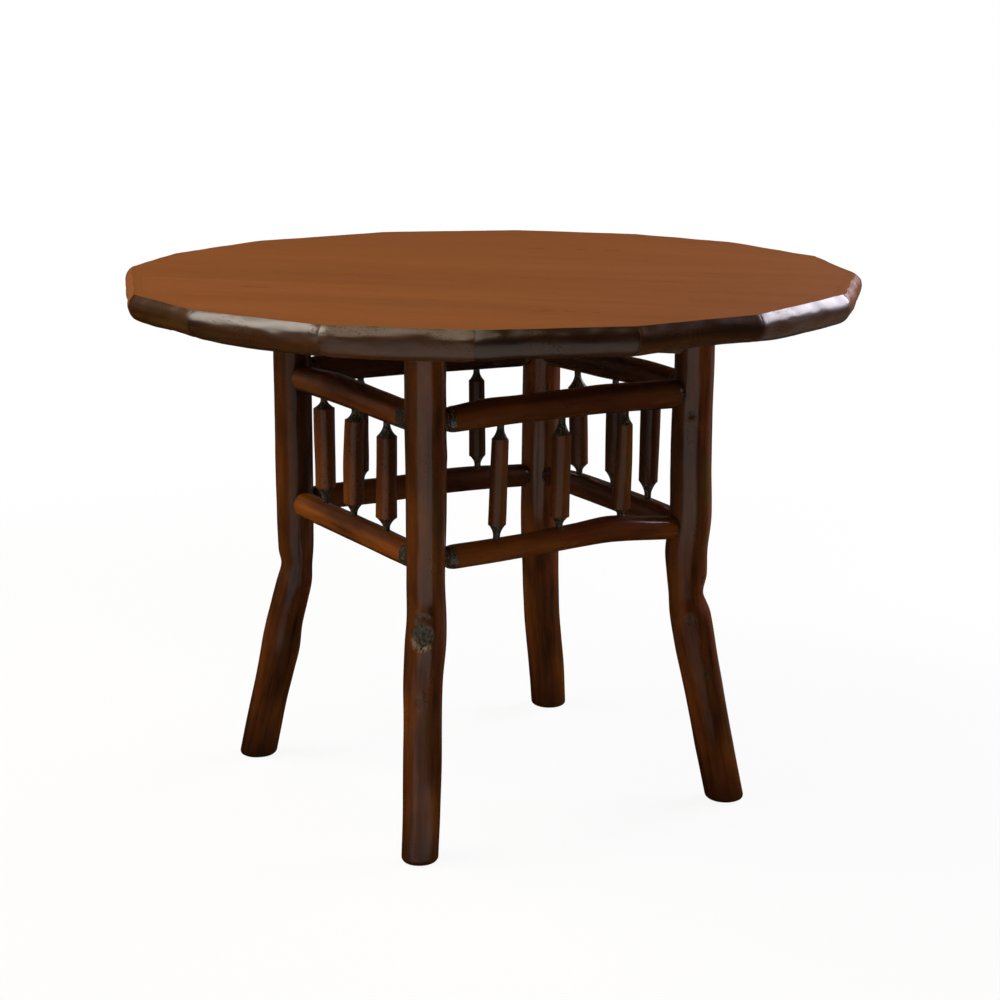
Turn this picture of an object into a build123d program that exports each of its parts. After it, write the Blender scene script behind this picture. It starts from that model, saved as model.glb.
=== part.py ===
from build123d import *

import math
import os

# Rustic hickory table: a sixteen-sided board top edged with split poles, on four crooked
# pole legs that are joined by two rings of rungs with turned spindles between them.
# Millimetres, +Z up. The origin is on the floor, under the centre of the top.

# ---- top ---------------------------------------------------------------------------------
TABLE_HEIGHT = 762.0
FACETS = 16
FIRST_CORNER_DEG = 14.0
# The hand-cut corners stray from even sixteenths by this many degrees, from corner 0 on.
CORNER_STRAY_DEG = (0, -2, -3, -2, 1, -1, -5, 4, 0, 1, 0, 0, -2, 0, 1, 0)
PANEL_CORNER_RADIUS = 514.0
BOARD_COUNT = 9
BOARD_WIDTH = 113.5
BOARD_THICKNESS = 22.0
BOARD_DIRECTION_DEG = -45.0

# ---- split-pole edging ---------------------------------------------------------------------
# The planed flat on top of each piece, from the panel out to where its bark side begins.
EDGE_FLAT_WIDTH = 14.3
EDGE_GLUE_LINE = 0.1
# The radius of the poles where two pieces meet, from corner 0 on.
EDGE_CORNER_RADII = (
    22.8,
    23.3,
    22.4,
    23.0,
    23.6,
    22.9,
    23.2,
    22.4,
    22.3,
    23.9,
    23.6,
    22.9,
    21.8,
    23.9,
    23.1,
    22.6,
)
# The radius of each piece's pole at its third points, from the piece after corner 0 on.
EDGE_MIDDLE_RADII = (
    (23.4, 22.3),
    (22.6, 23.8),
    (23.3, 22.1),
    (22.5, 23.7),
    (24.1, 22.9),
    (22.2, 23.1),
    (23.5, 22.6),
    (22.5, 21.8),
    (24.2, 24.1),
    (24.4, 24.4),
    (22.7, 22.8),
    (21.7, 21.2),
    (23.6, 23.8),
    (24.2, 23.3),
    (22.5, 23.6),
    (23.9, 23.2),
)

# ---- fixings -------------------------------------------------------------------------------
BRAD_RADIUS = 1.0
BRAD_HEIGHT = 751.0
BRAD_INNER_REACH = 22.0
BRAD_OUTER_REACH = 18.0
BRAD_SPACING = 120.0
SCREW_LENGTH = 38.0
SCREW_SHANK_RADIUS = 2.1
SCREW_HEAD_RADIUS = 4.2
SCREW_HEAD_DEPTH = 3.0
SCREW_POINT_LENGTH = 5.0
SCREW_SLOT_WIDTH = 1.2
SCREW_SLOT_DEPTH = 1.0
SCREW_ROW_OFFSET = 30.0
FIXING_CLEARANCE = 0.15

# ---- battens under the top -----------------------------------------------------------------
BATTEN_WIDTH = 95.0
BATTEN_THICKNESS = 24.0
MIDDLE_BATTEN_LENGTH = 880.0
SIDE_BATTEN_LENGTH = 690.0

# ---- poles ---------------------------------------------------------------------------------
# The longest straight stretch that a crooked pole's surface is made of.
POLE_STEP = 26.0
# The number of points that draw a split pole's bark side.
BARK_STEPS = 6

# ---- legs ----------------------------------------------------------------------------------
POST_HALF_SPAN = 214.0
LEG_TENON_RADIUS = 19.0
LEG_TENON_LENGTH = 23.5
FOOT_ROUNDING = 7.0
GLUE_GAP = 0.15
# Where each leg stands, and its shape from the floor up. Each station is its height, how far
# the leg's heart has moved out along the table's diagonal, how far it has moved sideways
# (anticlockwise seen from above), and the leg's radius.
LEGS = {
    "front_left": (
        (-1, -1),
        (
            (0, 61, 5, 25.8),
            (60, 49, 4, 25.8),
            (125, 37, 2, 26.4),
            (190, 25, -1, 26.4),
            (238, 16, -3, 27.1),
            (290, 7, -2, 28.4),
            (330, 1, -2, 27.4),
            (380, 0, -3, 26.7),
            (460, 0, -2, 28),
            (535, 0, -1.5, 28.4),
            (605, 0, -2, 28.4),
        ),
    ),
    "front_right": (
        (1, -1),
        (
            (0, 58, 0, 28.4),
            (80, 41, 0, 28.6),
            (152, 26, 0, 28.9),
            (224, 11, 0, 30.3),
            (278, 1, 0, 30.2),
            (307, -5, 0, 26.4),
            (338, -5, 0, 29.4),
            (373, -6, 0, 30.7),
            (421, -1, 0, 30.6),
            (492, -2, 0, 29.8),
            (562, -2, 0, 29.5),
            (643, 0, 0, 28.6),
        ),
    ),
    "back_right": (
        (1, 1),
        (
            (0, 61, 1, 27.6),
            (79, 46, 2, 29.2),
            (165, 29, 5, 28.9),
            (249, 14, 4, 29.5),
            (332, 1, 2, 30.4),
            (384, 0, 2, 30.3),
            (540, 0, 0, 30.0),
        ),
    ),
    "back_left": (
        (-1, 1),
        (
            (0, 70, 0, 28.3),
            (93, 49, 0, 28.2),
            (133, 39, 0, 28.9),
            (172, 30, 0, 30.0),
            (211, 23, 0, 28.7),
            (249, 13, 0, 27.9),
            (281, 5, 0, 27.0),
            (307, 1, 0, 24.7),
            (335, 1, 0, 26.9),
            (369, 1, 0, 27.6),
            (450, 1, 0, 28.1),
            (614, 1, 0, 28.3),
        ),
    ),
}
KNOT_LEG = "front_left"
KNOT_HEIGHT = 300.0
KNOT_DIRECTION_DEG = -119.0
KNOT_RADIUS = 27.0
KNOT_STAND_OUT = 4.5

# ---- rungs ---------------------------------------------------------------------------------
RUNG_BODY_HALF_LENGTH = 171.0
RUNG_SHOULDER_LENGTH = 15.0
RUNG_SHOULDER_SHARE = 0.78
# How far the rounded shoulder carries on, straight, to seat in the leg.
RUNG_SEAT_LENGTH = 9.0
RUNG_TENON_RADIUS = 9.0
RUNG_TENON_END = 11.5
# Each rung's heart height and thickness at stations along its side, from one end of its
# bark to the other.
RUNGS = {
    "upper": {
        "front": (
            (-171, 601, 36.5),
            (-120, 604.5, 40.2),
            (-75, 605, 38.8),
            (5, 606, 39.4),
            (60, 607, 41.2),
            (171, 604, 42),
        ),
        "right": (
            (-171, 609.5, 39),
            (-74, 610, 39.8),
            (30, 605, 38.2),
            (171, 599.5, 35.8),
        ),
        "back": (
            (-171, 604.5, 39.6),
            (-99, 602.5, 38.6),
            (-20, 601, 37),
            (85, 598.5, 36.6),
            (171, 596, 36),
        ),
        "left": (
            (-171, 600, 39.6),
            (-60, 601, 40.4),
            (10, 602, 42.2),
            (80, 602, 43.2),
            (171, 598, 39.4),
        ),
    },
    "lower": {
        "front": (
            (-171, 410, 34.6),
            (-110, 411, 34.3),
            (-50, 413, 34),
            (20, 416.5, 35.2),
            (80, 419, 38.2),
            (171, 409.5, 34),
        ),
        "right": (
            (-171, 405.5, 38),
            (-60, 407, 38.6),
            (90, 407.5, 38),
            (171, 405, 33.6),
        ),
        "back": (
            (-171, 407.5, 37.6),
            (-100, 407, 39.2),
            (-27, 407.5, 37.8),
            (60, 409, 38.4),
            (171, 404, 36),
        ),
        "left": (
            (-171, 407, 36),
            (-60, 407.5, 36.8),
            (60, 407, 37.6),
            (130, 407, 38.2),
            (171, 407, 39),
        ),
    },
}

# ---- spindles ------------------------------------------------------------------------------
SPINDLE_TENON_RADIUS = 5.0
SPINDLE_TENON_DEPTH = 12.0
SPINDLE_NECK_SHARE = 0.94
SPINDLE_WAIST_SHARE = 0.4
SPINDLE_WAIST_PLACE = 0.35
SPINDLE_NECK_END = 0.8
# Each spindle's place along its side, height and thickness at the foot and at the head of
# its bark, and how far its middle bows along the side.
SPINDLES = {
    "front": (
        (-108, 447, 24.8, -100, 566.5, 24, 0),
        (-7.5, 447.5, 28, -3, 563.5, 27, 0),
        (92.5, 447, 27.6, 100.5, 568.5, 23, 1),
    ),
    "right": (
        (-97.5, 451, 29, -104, 572, 31, 0),
        (-2.5, 448, 27, -6, 562, 27, 1),
        (96, 440, 28, 105, 560, 30.5, 0),
    ),
    "back": (
        (-103.5, 441, 23.5, -102.5, 571, 23.5, 0),
        (-1.5, 444, 27.6, 1, 563, 26, 0),
        (99, 444, 26, 97, 563, 25, 0),
    ),
    "left": (
        (-89.5, 444, 30.4, -95, 560, 29, 0),
        (14, 444.5, 30.2, 4.5, 565.5, 29, 4),
        (106, 449, 31, 108.5, 566, 32, 0),
    ),
}

# ---- worked out from the sizes above -------------------------------------------------------
BOARD_UNDERSIDE = TABLE_HEIGHT - BOARD_THICKNESS
BATTEN_UNDERSIDE = BOARD_UNDERSIDE - BATTEN_THICKNESS
POST_DIAGONAL = POST_HALF_SPAN * math.sqrt(2)
RUNG_SEAT_REACH = RUNG_SHOULDER_LENGTH + RUNG_SEAT_LENGTH
RUNG_TENON_REACH = POST_HALF_SPAN - RUNG_BODY_HALF_LENGTH - RUNG_TENON_END
BATTENS = {
    "batten_left": (-POST_DIAGONAL, SIDE_BATTEN_LENGTH),
    "batten_middle": (0.0, MIDDLE_BATTEN_LENGTH),
    "batten_right": (POST_DIAGONAL, SIDE_BATTEN_LENGTH),
}
# A side's frame has its X along the rungs, and each side joins the legs at its -X and +X ends.
SIDE_FRAMES = {
    "front": Location((0, -POST_HALF_SPAN, 0)),
    "right": Location((POST_HALF_SPAN, 0, 0), (0, 0, 90)),
    "back": Location((0, POST_HALF_SPAN, 0)),
    "left": Location((-POST_HALF_SPAN, 0, 0), (0, 0, 90)),
}


# ---- helpers -------------------------------------------------------------------------------
def polar(radius, degrees):
    """A plan point at a distance and direction from the centre."""
    angle = math.radians(degrees)
    return Vector(radius * math.cos(angle), radius * math.sin(angle), 0)


def steepness(stations, index, column):
    """How fast a value changes at a station, from the stations on both sides of it."""
    low = stations[max(index - 1, 0)]
    high = stations[min(index + 1, len(stations) - 1)]
    return (high[column] - low[column]) / (high[0] - low[0])


def value_at(stations, place, column):
    """A value at any place along the stations, on a smooth curve through all of them."""
    for index, (low, high) in enumerate(zip(stations, stations[1:])):
        if place <= high[0]:
            span = high[0] - low[0]
            t = (place - low[0]) / span
            rise = steepness(stations, index, column) * span
            fall = steepness(stations, index + 1, column) * span
            blend = t * t * (3 - 2 * t)
            swing = t * (1 - t) * ((1 - t) * rise - t * fall)
            return low[column] * (1 - blend) + high[column] * blend + swing
    return stations[-1][column]


def finely(stations):
    """The stations with more between them, so that straight stretches follow the curve."""
    fine = []
    for low, high in zip(stations, stations[1:]):
        steps = math.ceil((high[0] - low[0]) / POLE_STEP)
        for step in range(steps):
            place = low[0] + (high[0] - low[0]) * step / steps
            values = (value_at(stations, place, column) for column in range(1, len(low)))
            fine.append((place, *values))
    return fine + [stations[-1]]


def turned(outline):
    """The solid of revolution about Z of a half outline given as (radius, height) points."""
    points = [Vector(radius, 0, height) for radius, height in outline]
    half = make_face(Polyline(*points, close=True))
    return revolve(half, Axis.Z)


def write_step(name, shape):
    """One file for each node."""
    shape.label = name
    export_step(shape, os.path.join("parts", name + ".step"))


# ---- top -----------------------------------------------------------------------------------
def panel_corners():
    """The corners of the board panel in plan."""
    step = 360.0 / FACETS
    return [
        polar(PANEL_CORNER_RADIUS, FIRST_CORNER_DEG + step * corner + CORNER_STRAY_DEG[corner])
        for corner in range(FACETS)
    ]


def facet_normal(corners, facet):
    """The outward direction of one side of the panel in plan."""
    along = corners[(facet + 1) % FACETS] - corners[facet]
    return Vector(along.Y, -along.X, 0).normalized()


def brad_cylinders(grow=0.0):
    """Two brads through each edging piece into the panel, or the holes that they fill."""
    corners = panel_corners()
    brads = []
    for facet in range(FACETS):
        outward = facet_normal(corners, facet)
        start, end = corners[facet], corners[(facet + 1) % FACETS]
        middle = (start + end) * 0.5
        along = (end - start).normalized()
        for side in (-0.5, 0.5):
            inner = middle + along * (side * BRAD_SPACING) - outward * (BRAD_INNER_REACH + grow)
            inner = inner + Vector(0, 0, BRAD_HEIGHT)
            length = BRAD_INNER_REACH + BRAD_OUTER_REACH + 2 * grow
            base = Plane(origin=inner, z_dir=outward)
            brads.append(base * extrude(Circle(BRAD_RADIUS + grow), length))
    return brads


def screw_places():
    """Plan places of the batten screws, one in each board that a batten crosses."""
    places = []
    for across, length in BATTENS.values():
        row = SCREW_ROW_OFFSET
        for board in range(BOARD_COUNT):
            middle = (board - (BOARD_COUNT - 1) / 2) * BOARD_WIDTH
            low = max(middle - BOARD_WIDTH / 2, -length / 2)
            high = min(middle + BOARD_WIDTH / 2, length / 2)
            if high > low:
                place = Vector(across + row, (low + high) / 2, 0)
                places.append(place.rotate(Axis.Z, BOARD_DIRECTION_DEG))
                row = -row
    return places


def screw(grow=0.0):
    """A countersunk wood screw pointing up from Z 0, or the hole that it fills."""
    head, shank = SCREW_HEAD_RADIUS + grow, SCREW_SHANK_RADIUS + grow
    tip = SCREW_LENGTH + grow
    outline = (
        (0, -grow),
        (head, -grow),
        (shank, SCREW_HEAD_DEPTH),
        (shank, tip - SCREW_POINT_LENGTH),
        (0, tip),
    )
    return turned(outline)


def screw_cutters():
    """The holes of all the batten screws."""
    hole = screw(FIXING_CLEARANCE)
    return [Pos(place.X, place.Y, BATTEN_UNDERSIDE) * hole for place in screw_places()]


def batten_screws():
    """The screws, each with a driving slot, that hold the battens to the boards."""
    slot = Box(
        3 * SCREW_HEAD_RADIUS,
        SCREW_SLOT_WIDTH,
        2 * SCREW_SLOT_DEPTH,
    )
    slotted = screw() - slot
    return Compound(
        children=[Pos(place.X, place.Y, BATTEN_UNDERSIDE) * slotted for place in screw_places()]
    )


def top_board(number, panel, holes):
    """One glued-up board of the top, cut to the panel's outline."""
    across = (number - (BOARD_COUNT - 1) / 2) * BOARD_WIDTH
    blank = Pos(0, across, TABLE_HEIGHT - BOARD_THICKNESS / 2) * Box(
        3 * PANEL_CORNER_RADIUS, BOARD_WIDTH, BOARD_THICKNESS
    )
    board = panel & (Rot(0, 0, BOARD_DIRECTION_DEG) * blank)
    return board - holes


def edge_section(base, reach, radius):
    """The half-pole outline standing on a plan point: flat inside, planed flush on top.

    reach is the plan direction that it grows along, as long as one millimetre of the pole
    measures there.
    """
    top = math.sqrt(radius**2 - EDGE_FLAT_WIDTH**2)
    low = -math.sqrt(radius**2 - EDGE_GLUE_LINE**2)

    def place(out, height):
        return base + reach * out + Vector(0, 0, TABLE_HEIGHT - top + height)

    # The bark follows the pole's round in plan-stretched points, joined by one smooth curve.
    start_angle, end_angle = math.asin(top / radius), math.asin(low / radius)
    bark_points = []
    for step in range(BARK_STEPS + 1):
        angle = start_angle + (end_angle - start_angle) * step / BARK_STEPS
        bark_points.append(place(radius * math.cos(angle), radius * math.sin(angle)))
    outline = [
        Line(place(EDGE_GLUE_LINE, low), place(EDGE_GLUE_LINE, top)),
        Line(place(EDGE_GLUE_LINE, top), place(EDGE_FLAT_WIDTH, top)),
        Spline(*bark_points),
    ]
    return make_face(outline)


def top_edging(facet, corners):
    """One split-pole edging piece between two mitres."""
    after = (facet + 1) % FACETS
    start, end = corners[facet], corners[after]
    outward = facet_normal(corners, facet)
    sections = [edge_section(start, mitre_reach(corners, facet), EDGE_CORNER_RADII[facet])]
    for share, radius in zip((1 / 3, 2 / 3), EDGE_MIDDLE_RADII[facet]):
        sections.append(edge_section(start + (end - start) * share, outward, radius))
    sections.append(edge_section(end, mitre_reach(corners, after), EDGE_CORNER_RADII[after]))
    return loft(sections)


def mitre_reach(corners, corner):
    """The direction of a mitre in plan, as long as one millimetre across the poles takes."""
    before = facet_normal(corners, (corner - 1) % FACETS)
    after = facet_normal(corners, corner % FACETS)
    bisector = (before + after).normalized()
    return bisector * (1 / bisector.dot(after))


# ---- legs ----------------------------------------------------------------------------------
def leg_place(leg, outward, sideways):
    """The plan point of a leg's heart, from how far it strays from its post."""
    (side_x, side_y), _ = LEGS[leg]
    out = Vector(side_x, side_y, 0).normalized()
    sideways_direction = Vector(-out.Y, out.X, 0)
    post = Vector(side_x * POST_HALF_SPAN, side_y * POST_HALF_SPAN, 0)
    return post + out * outward + sideways_direction * sideways


def leg_head(leg):
    """The plan point of a leg's heart under the batten."""
    _, stations = LEGS[leg]
    _, outward, sideways, _ = stations[-1]
    return leg_place(leg, outward, sideways)


def pole_leg(leg):
    """A crooked leg with a rounded foot, its knot, and a round tenon for the batten."""
    _, stations = LEGS[leg]
    top_station = (BATTEN_UNDERSIDE, *stations[-1][1:])
    sections = []
    for height, outward, sideways, radius in finely((*stations, top_station)):
        heart = leg_place(leg, outward, sideways)
        sections.append(Pos(heart.X, heart.Y, height) * Circle(radius))
    body = loft(sections, ruled=True)
    body = fillet(body.edges().sort_by(Axis.Z)[0], FOOT_ROUNDING)
    if leg == KNOT_LEG:
        body += knot(leg)
    head = leg_head(leg)
    tenon = extrude(Circle(LEG_TENON_RADIUS), LEG_TENON_LENGTH)
    body += Pos(head.X, head.Y, BATTEN_UNDERSIDE) * tenon
    return body


def knot(leg):
    """The swelling where a branch grew out of a leg."""
    _, stations = LEGS[leg]
    outward, sideways, radius = (value_at(stations, KNOT_HEIGHT, column) for column in (1, 2, 3))
    offset = radius + KNOT_STAND_OUT - KNOT_RADIUS
    centre = leg_place(leg, outward, sideways) + polar(offset, KNOT_DIRECTION_DEG)
    return Pos(centre.X, centre.Y, KNOT_HEIGHT) * Sphere(KNOT_RADIUS)


# ---- rungs ---------------------------------------------------------------------------------
def rung_end(bark_radius, gap=0.0):
    """A rung's turned shoulder and tenon along +Z, or with a gap the mortise that it fills."""
    shoulder = bark_radius * RUNG_SHOULDER_SHARE
    half_way = (bark_radius + shoulder) / 2 + (bark_radius - shoulder) / 4
    outline = (
        (0, 0),
        (bark_radius + gap, 0),
        (half_way + gap, RUNG_SHOULDER_LENGTH / 2),
        (shoulder + gap, RUNG_SHOULDER_LENGTH),
        (shoulder + gap, RUNG_SEAT_REACH + gap),
        (RUNG_TENON_RADIUS + gap, RUNG_SEAT_REACH + gap),
        (RUNG_TENON_RADIUS + gap, RUNG_TENON_REACH + gap),
        (0, RUNG_TENON_REACH + gap),
    )
    return turned(outline)


def rung_ends(stations, gap=0.0):
    """Both turned ends of a rung, in its side's frame."""
    ends = []
    for station, direction in ((stations[0], -1), (stations[-1], 1)):
        place, height, thickness = station
        frame = Plane(origin=(place, 0, height), z_dir=(direction, 0, 0))
        ends.append(frame * rung_end(thickness / 2, gap))
    return ends


def rung(stations):
    """A rung in its side's frame: bark between two turned ends."""
    sections = [
        Plane(origin=(place, 0, height), z_dir=(1, 0, 0)) * Circle(thickness / 2)
        for place, height, thickness in finely(stations)
    ]
    return loft(sections, ruled=True) + rung_ends(stations)


# ---- spindles ------------------------------------------------------------------------------
def rung_heart(level, side, place):
    """A point of a rung's heart in its side's frame, and the rung's radius there."""
    stations = RUNGS[level][side]
    height, thickness = (value_at(stations, place, column) for column in (1, 2))
    return Vector(place, 0, height), thickness / 2


def spindle_end(bark_radius, neck_length, gap=0.0):
    """A spindle's hollow-turned neck and tenon along +Z, or with a gap its mortise."""
    shoulder = bark_radius * SPINDLE_NECK_SHARE
    waist = SPINDLE_TENON_RADIUS + (shoulder - SPINDLE_TENON_RADIUS) * SPINDLE_WAIST_SHARE
    tip = neck_length + SPINDLE_TENON_DEPTH + gap
    outline = (
        (0, 0),
        (shoulder + gap, 0),
        (waist + gap, neck_length * SPINDLE_WAIST_PLACE),
        (SPINDLE_TENON_RADIUS + gap, neck_length * SPINDLE_NECK_END),
        (SPINDLE_TENON_RADIUS + gap, tip),
        (0, tip),
    )
    return turned(outline)


def spindle_frames(side, shape):
    """Planes on the two ends of a spindle's bark, facing its tenons, with the necks' lengths."""
    foot_place, foot_height, _, head_place, head_height, _, _ = shape
    foot_heart, foot_rung = rung_heart("lower", side, foot_place)
    head_heart, head_rung = rung_heart("upper", side, head_place)
    axis = (head_heart - foot_heart).normalized()
    foot = foot_heart + axis * (foot_height - foot_heart.Z)
    head = head_heart - axis * (head_heart.Z - head_height)
    foot_neck = foot_height - foot_heart.Z - foot_rung
    head_neck = head_heart.Z - head_height - head_rung
    return (Plane(origin=foot, z_dir=-axis), foot_neck), (Plane(origin=head, z_dir=axis), head_neck)


def spindle_ends(side, shape, gap=0.0):
    """Both turned ends of a spindle, in its side's frame."""
    _, _, foot_thickness, _, _, head_thickness, _ = shape
    (foot, foot_neck), (head, head_neck) = spindle_frames(side, shape)
    return [
        foot * spindle_end(foot_thickness / 2, foot_neck, gap),
        head * spindle_end(head_thickness / 2, head_neck, gap),
    ]


def spindle(side, shape):
    """A short pole between the rungs, in its side's frame."""
    _, _, foot_thickness, _, _, head_thickness, bow = shape
    (foot, _), (head, _) = spindle_frames(side, shape)
    middle = (foot.origin + head.origin) * 0.5 + Vector(bow, 0, 0)
    direction = (head.origin - foot.origin).normalized()
    middle_thickness = (foot_thickness + head_thickness) / 2
    sections = [
        Plane(origin=foot.origin, z_dir=direction) * Circle(foot_thickness / 2),
        Plane(origin=middle, z_dir=direction) * Circle(middle_thickness / 2),
        Plane(origin=head.origin, z_dir=direction) * Circle(head_thickness / 2),
    ]
    return loft(sections) + spindle_ends(side, shape)


# ---- build ---------------------------------------------------------------------------------
def make_top():
    """Boards, edging and the brads that hold it."""
    corners = panel_corners()
    outline = make_face(Polyline(*corners, close=True))
    panel = Pos(0, 0, BOARD_UNDERSIDE) * extrude(outline, BOARD_THICKNESS)
    brad_holes = brad_cylinders(FIXING_CLEARANCE)
    holes = brad_holes + screw_cutters()
    for number in range(BOARD_COUNT):
        write_step(f"top_board_{number + 1}", top_board(number, panel, holes))
    for facet in range(FACETS):
        piece = top_edging(facet, corners) - brad_holes
        write_step(f"top_edging_{facet + 1:02d}", piece)
    write_step("edging_brads", Compound(children=brad_cylinders()))


def make_battens():
    """The battens with the mortises for the legs, and their screws."""
    mortise = extrude(Circle(LEG_TENON_RADIUS + GLUE_GAP), BATTEN_THICKNESS)
    mortises = []
    for leg in LEGS:
        head = leg_head(leg)
        mortises.append(Pos(head.X, head.Y, BATTEN_UNDERSIDE) * mortise)
    for name, (across, length) in BATTENS.items():
        blank = Pos(across, 0, BOARD_UNDERSIDE - BATTEN_THICKNESS / 2) * Box(
            BATTEN_WIDTH, length, BATTEN_THICKNESS
        )
        batten = Rot(0, 0, BOARD_DIRECTION_DEG) * blank
        write_step(name, batten - mortises - screw_cutters())
    write_step("batten_screws", batten_screws())


def make_legs():
    """The legs with the mortises for the rungs."""
    mortises = []
    for level in RUNGS.values():
        for side, stations in level.items():
            mortises += [SIDE_FRAMES[side] * end for end in rung_ends(stations, GLUE_GAP)]
    for leg in LEGS:
        write_step(f"leg_{leg}", pole_leg(leg) - mortises)


def make_rungs():
    """The rungs with the mortises for the spindles."""
    for level, sides in RUNGS.items():
        for side, stations in sides.items():
            piece = rung(stations)
            for shape in SPINDLES[side]:
                piece -= spindle_ends(side, shape, GLUE_GAP)
            write_step(f"rung_{level}_{side}", SIDE_FRAMES[side] * piece)


def make_spindles():
    """The spindles between each pair of rungs."""
    for side, shapes in SPINDLES.items():
        for number, shape in enumerate(shapes, start=1):
            write_step(f"spindle_{side}_{number}", SIDE_FRAMES[side] * spindle(side, shape))


os.makedirs("parts", exist_ok=True)
make_top()
make_battens()
make_legs()
make_rungs()
make_spindles()
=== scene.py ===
import logging
import math
from dataclasses import dataclass, field
from enum import Enum
from typing import Sequence

import bpy
import numpy as np
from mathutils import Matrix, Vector, noise


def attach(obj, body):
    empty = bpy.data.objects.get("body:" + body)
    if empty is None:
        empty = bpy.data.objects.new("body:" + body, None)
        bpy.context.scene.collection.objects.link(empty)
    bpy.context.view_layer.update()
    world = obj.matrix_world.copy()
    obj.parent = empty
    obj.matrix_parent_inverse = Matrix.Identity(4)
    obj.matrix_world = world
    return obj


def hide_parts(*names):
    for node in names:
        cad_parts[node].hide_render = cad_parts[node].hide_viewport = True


# A rustic hickory table: a planed board top edged with split poles, on four crooked pole legs
# that two rings of rungs and twelve turned spindles hold together. Metres, +Z up, in the frame
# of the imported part.

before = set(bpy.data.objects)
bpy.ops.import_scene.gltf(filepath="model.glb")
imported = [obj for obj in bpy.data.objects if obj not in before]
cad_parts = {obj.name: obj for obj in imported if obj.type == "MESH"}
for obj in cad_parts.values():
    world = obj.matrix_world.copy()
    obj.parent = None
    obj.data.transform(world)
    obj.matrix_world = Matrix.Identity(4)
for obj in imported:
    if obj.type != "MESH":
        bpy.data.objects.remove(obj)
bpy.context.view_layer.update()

log = logging.getLogger("table")

Stations = Sequence[Sequence[float]]
Colour = tuple[float, float, float]

MM = 0.001
ROOT = "root"

# Attributes that a piece's mesh carries for its finish.
GRAIN = "grain_place"
TURNED = "turned"
SCAR = "scar"
WORN = "worn"
# The tone carries the stain's mottling and also painted light and shade: poles lighter or darker on one
# side, rungs' shaded tops, the edging's lit underside, painted glints.
TONE_AND_PAINTED_LIGHT = "tone"
GLOSS = "gloss"
PLAIN_MASKS = {TURNED: 0.0, SCAR: 0.0, WORN: 0.0, TONE_AND_PAINTED_LIGHT: 1.0, GLOSS: 1.0}

# The right-hand direction of somebody who faces the side that the table is shown from; the poles'
# painted light and shade changes from left to right across it.
RIGHT_HAND_DEG = -29.1


class Slot(Enum):
    """The record's material slots, which the poles' own meshes are logged with."""

    EDGE = "edge_pole_wood"
    POLE = "pole_wood"
    SPINDLE = "spindle_wood"


class Side(Enum):
    """The sides of the base: word, direction from the centre, and turn about Z."""

    FRONT = ("front", (0.0, -1.0), 0.0)
    RIGHT = ("right", (1.0, 0.0), 90.0)
    BACK = ("back", (0.0, 1.0), 0.0)
    LEFT = ("left", (-1.0, 0.0), 90.0)

    @property
    def word(self) -> str:
        """The side's name in the pieces' names."""
        return self.value[0]

    @property
    def turn_deg(self) -> float:
        """How far the side's own frame is turned about Z."""
        return self.value[2]

    def world(self, points: np.ndarray, half_span: float) -> np.ndarray:
        """Turns points of the side's own frame, X along its rungs, into the table's frame.

        Args:
            points: An array whose last axis is x, y, z.
            half_span: How far the side stands from the table's centre.

        Returns:
            The same array in the table's frame.
        """
        out_x, out_y = self.value[1]
        turn = math.radians(self.turn_deg)
        cos, sin = math.cos(turn), math.sin(turn)
        x, y, z = points[..., 0], points[..., 1], points[..., 2]
        return np.stack(
            [cos * x - sin * y + out_x * half_span, sin * x + cos * y + out_y * half_span, z], -1
        )


# ---- numbers along a pole ------------------------------------------------------------------
def smooth_values(stations: Stations, places: np.ndarray) -> np.ndarray:
    """Values on the smooth curve that passes through every station.

    Args:
        stations: Rows of a place and the values there, in rising order of place.
        places: Where the values are wanted.

    Returns:
        One row of values for each place.
    """
    table = np.asarray(stations, float)
    where, values = table[:, 0], table[:, 1:]
    low = np.maximum(np.arange(len(where)) - 1, 0)
    high = np.minimum(np.arange(len(where)) + 1, len(where) - 1)
    slopes = (values[high] - values[low]) / (where[high] - where[low])[:, None]
    index = np.clip(np.searchsorted(where, places, side="right") - 1, 0, len(where) - 2)
    span = (where[index + 1] - where[index])[:, None]
    t = np.clip((places - where[index])[:, None] / span, 0.0, 1.0)
    blend = t * t * (3 - 2 * t)
    swing = t * (1 - t) * ((1 - t) * slopes[index] - t * slopes[index + 1]) * span
    return values[index] * (1 - blend) + values[index + 1] * blend + swing


def eased(values: np.ndarray, start: float, end: float) -> np.ndarray:
    """A smooth rise from 0 at start to 1 at end."""
    t = np.clip((values - start) / (end - start), 0.0, 1.0)
    return t * t * (3 - 2 * t)


def wander(points: np.ndarray, size: float, seed: float) -> np.ndarray:
    """Smooth unevenness, from about -1 to 1, at each point.

    Args:
        points: An array whose last axis is x, y, z.
        size: The width of one swell.
        seed: Which unevenness this is.

    Returns:
        One number for each point.
    """
    shift = Vector((seed * 7.31 + 1.7, seed * 3.77 + 9.2, seed * 5.13 + 4.4))
    flat = points.reshape(-1, 3) / size
    values = [noise.noise(Vector(point) + shift) for point in flat.tolist()]
    return np.array(values).reshape(points.shape[:-1])


def spread(*stretches: tuple[float, float, float]) -> np.ndarray:
    """Places along a pole, with a spacing for each stretch.

    Args:
        stretches: The start, end and greatest spacing of each stretch, in order.

    Returns:
        The places in rising order, none of them twice.
    """
    places: list[float] = []
    for start, end, spacing in stretches:
        steps = max(1, math.ceil((end - start) / spacing - 1e-6))
        places += list(np.linspace(start, end, steps + 1))
    return np.unique(np.round(places, 7))


# ---- meshes --------------------------------------------------------------------------------
def link(name: str, data: bpy.types.ID) -> bpy.types.Object:
    """Makes an object of the scene.

    Args:
        name: The object's name.
        data: Its mesh, lamp or camera.

    Returns:
        The object, linked to the scene.
    """
    made = bpy.data.objects.new(name, data)
    bpy.context.scene.collection.objects.link(made)
    return made


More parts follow.
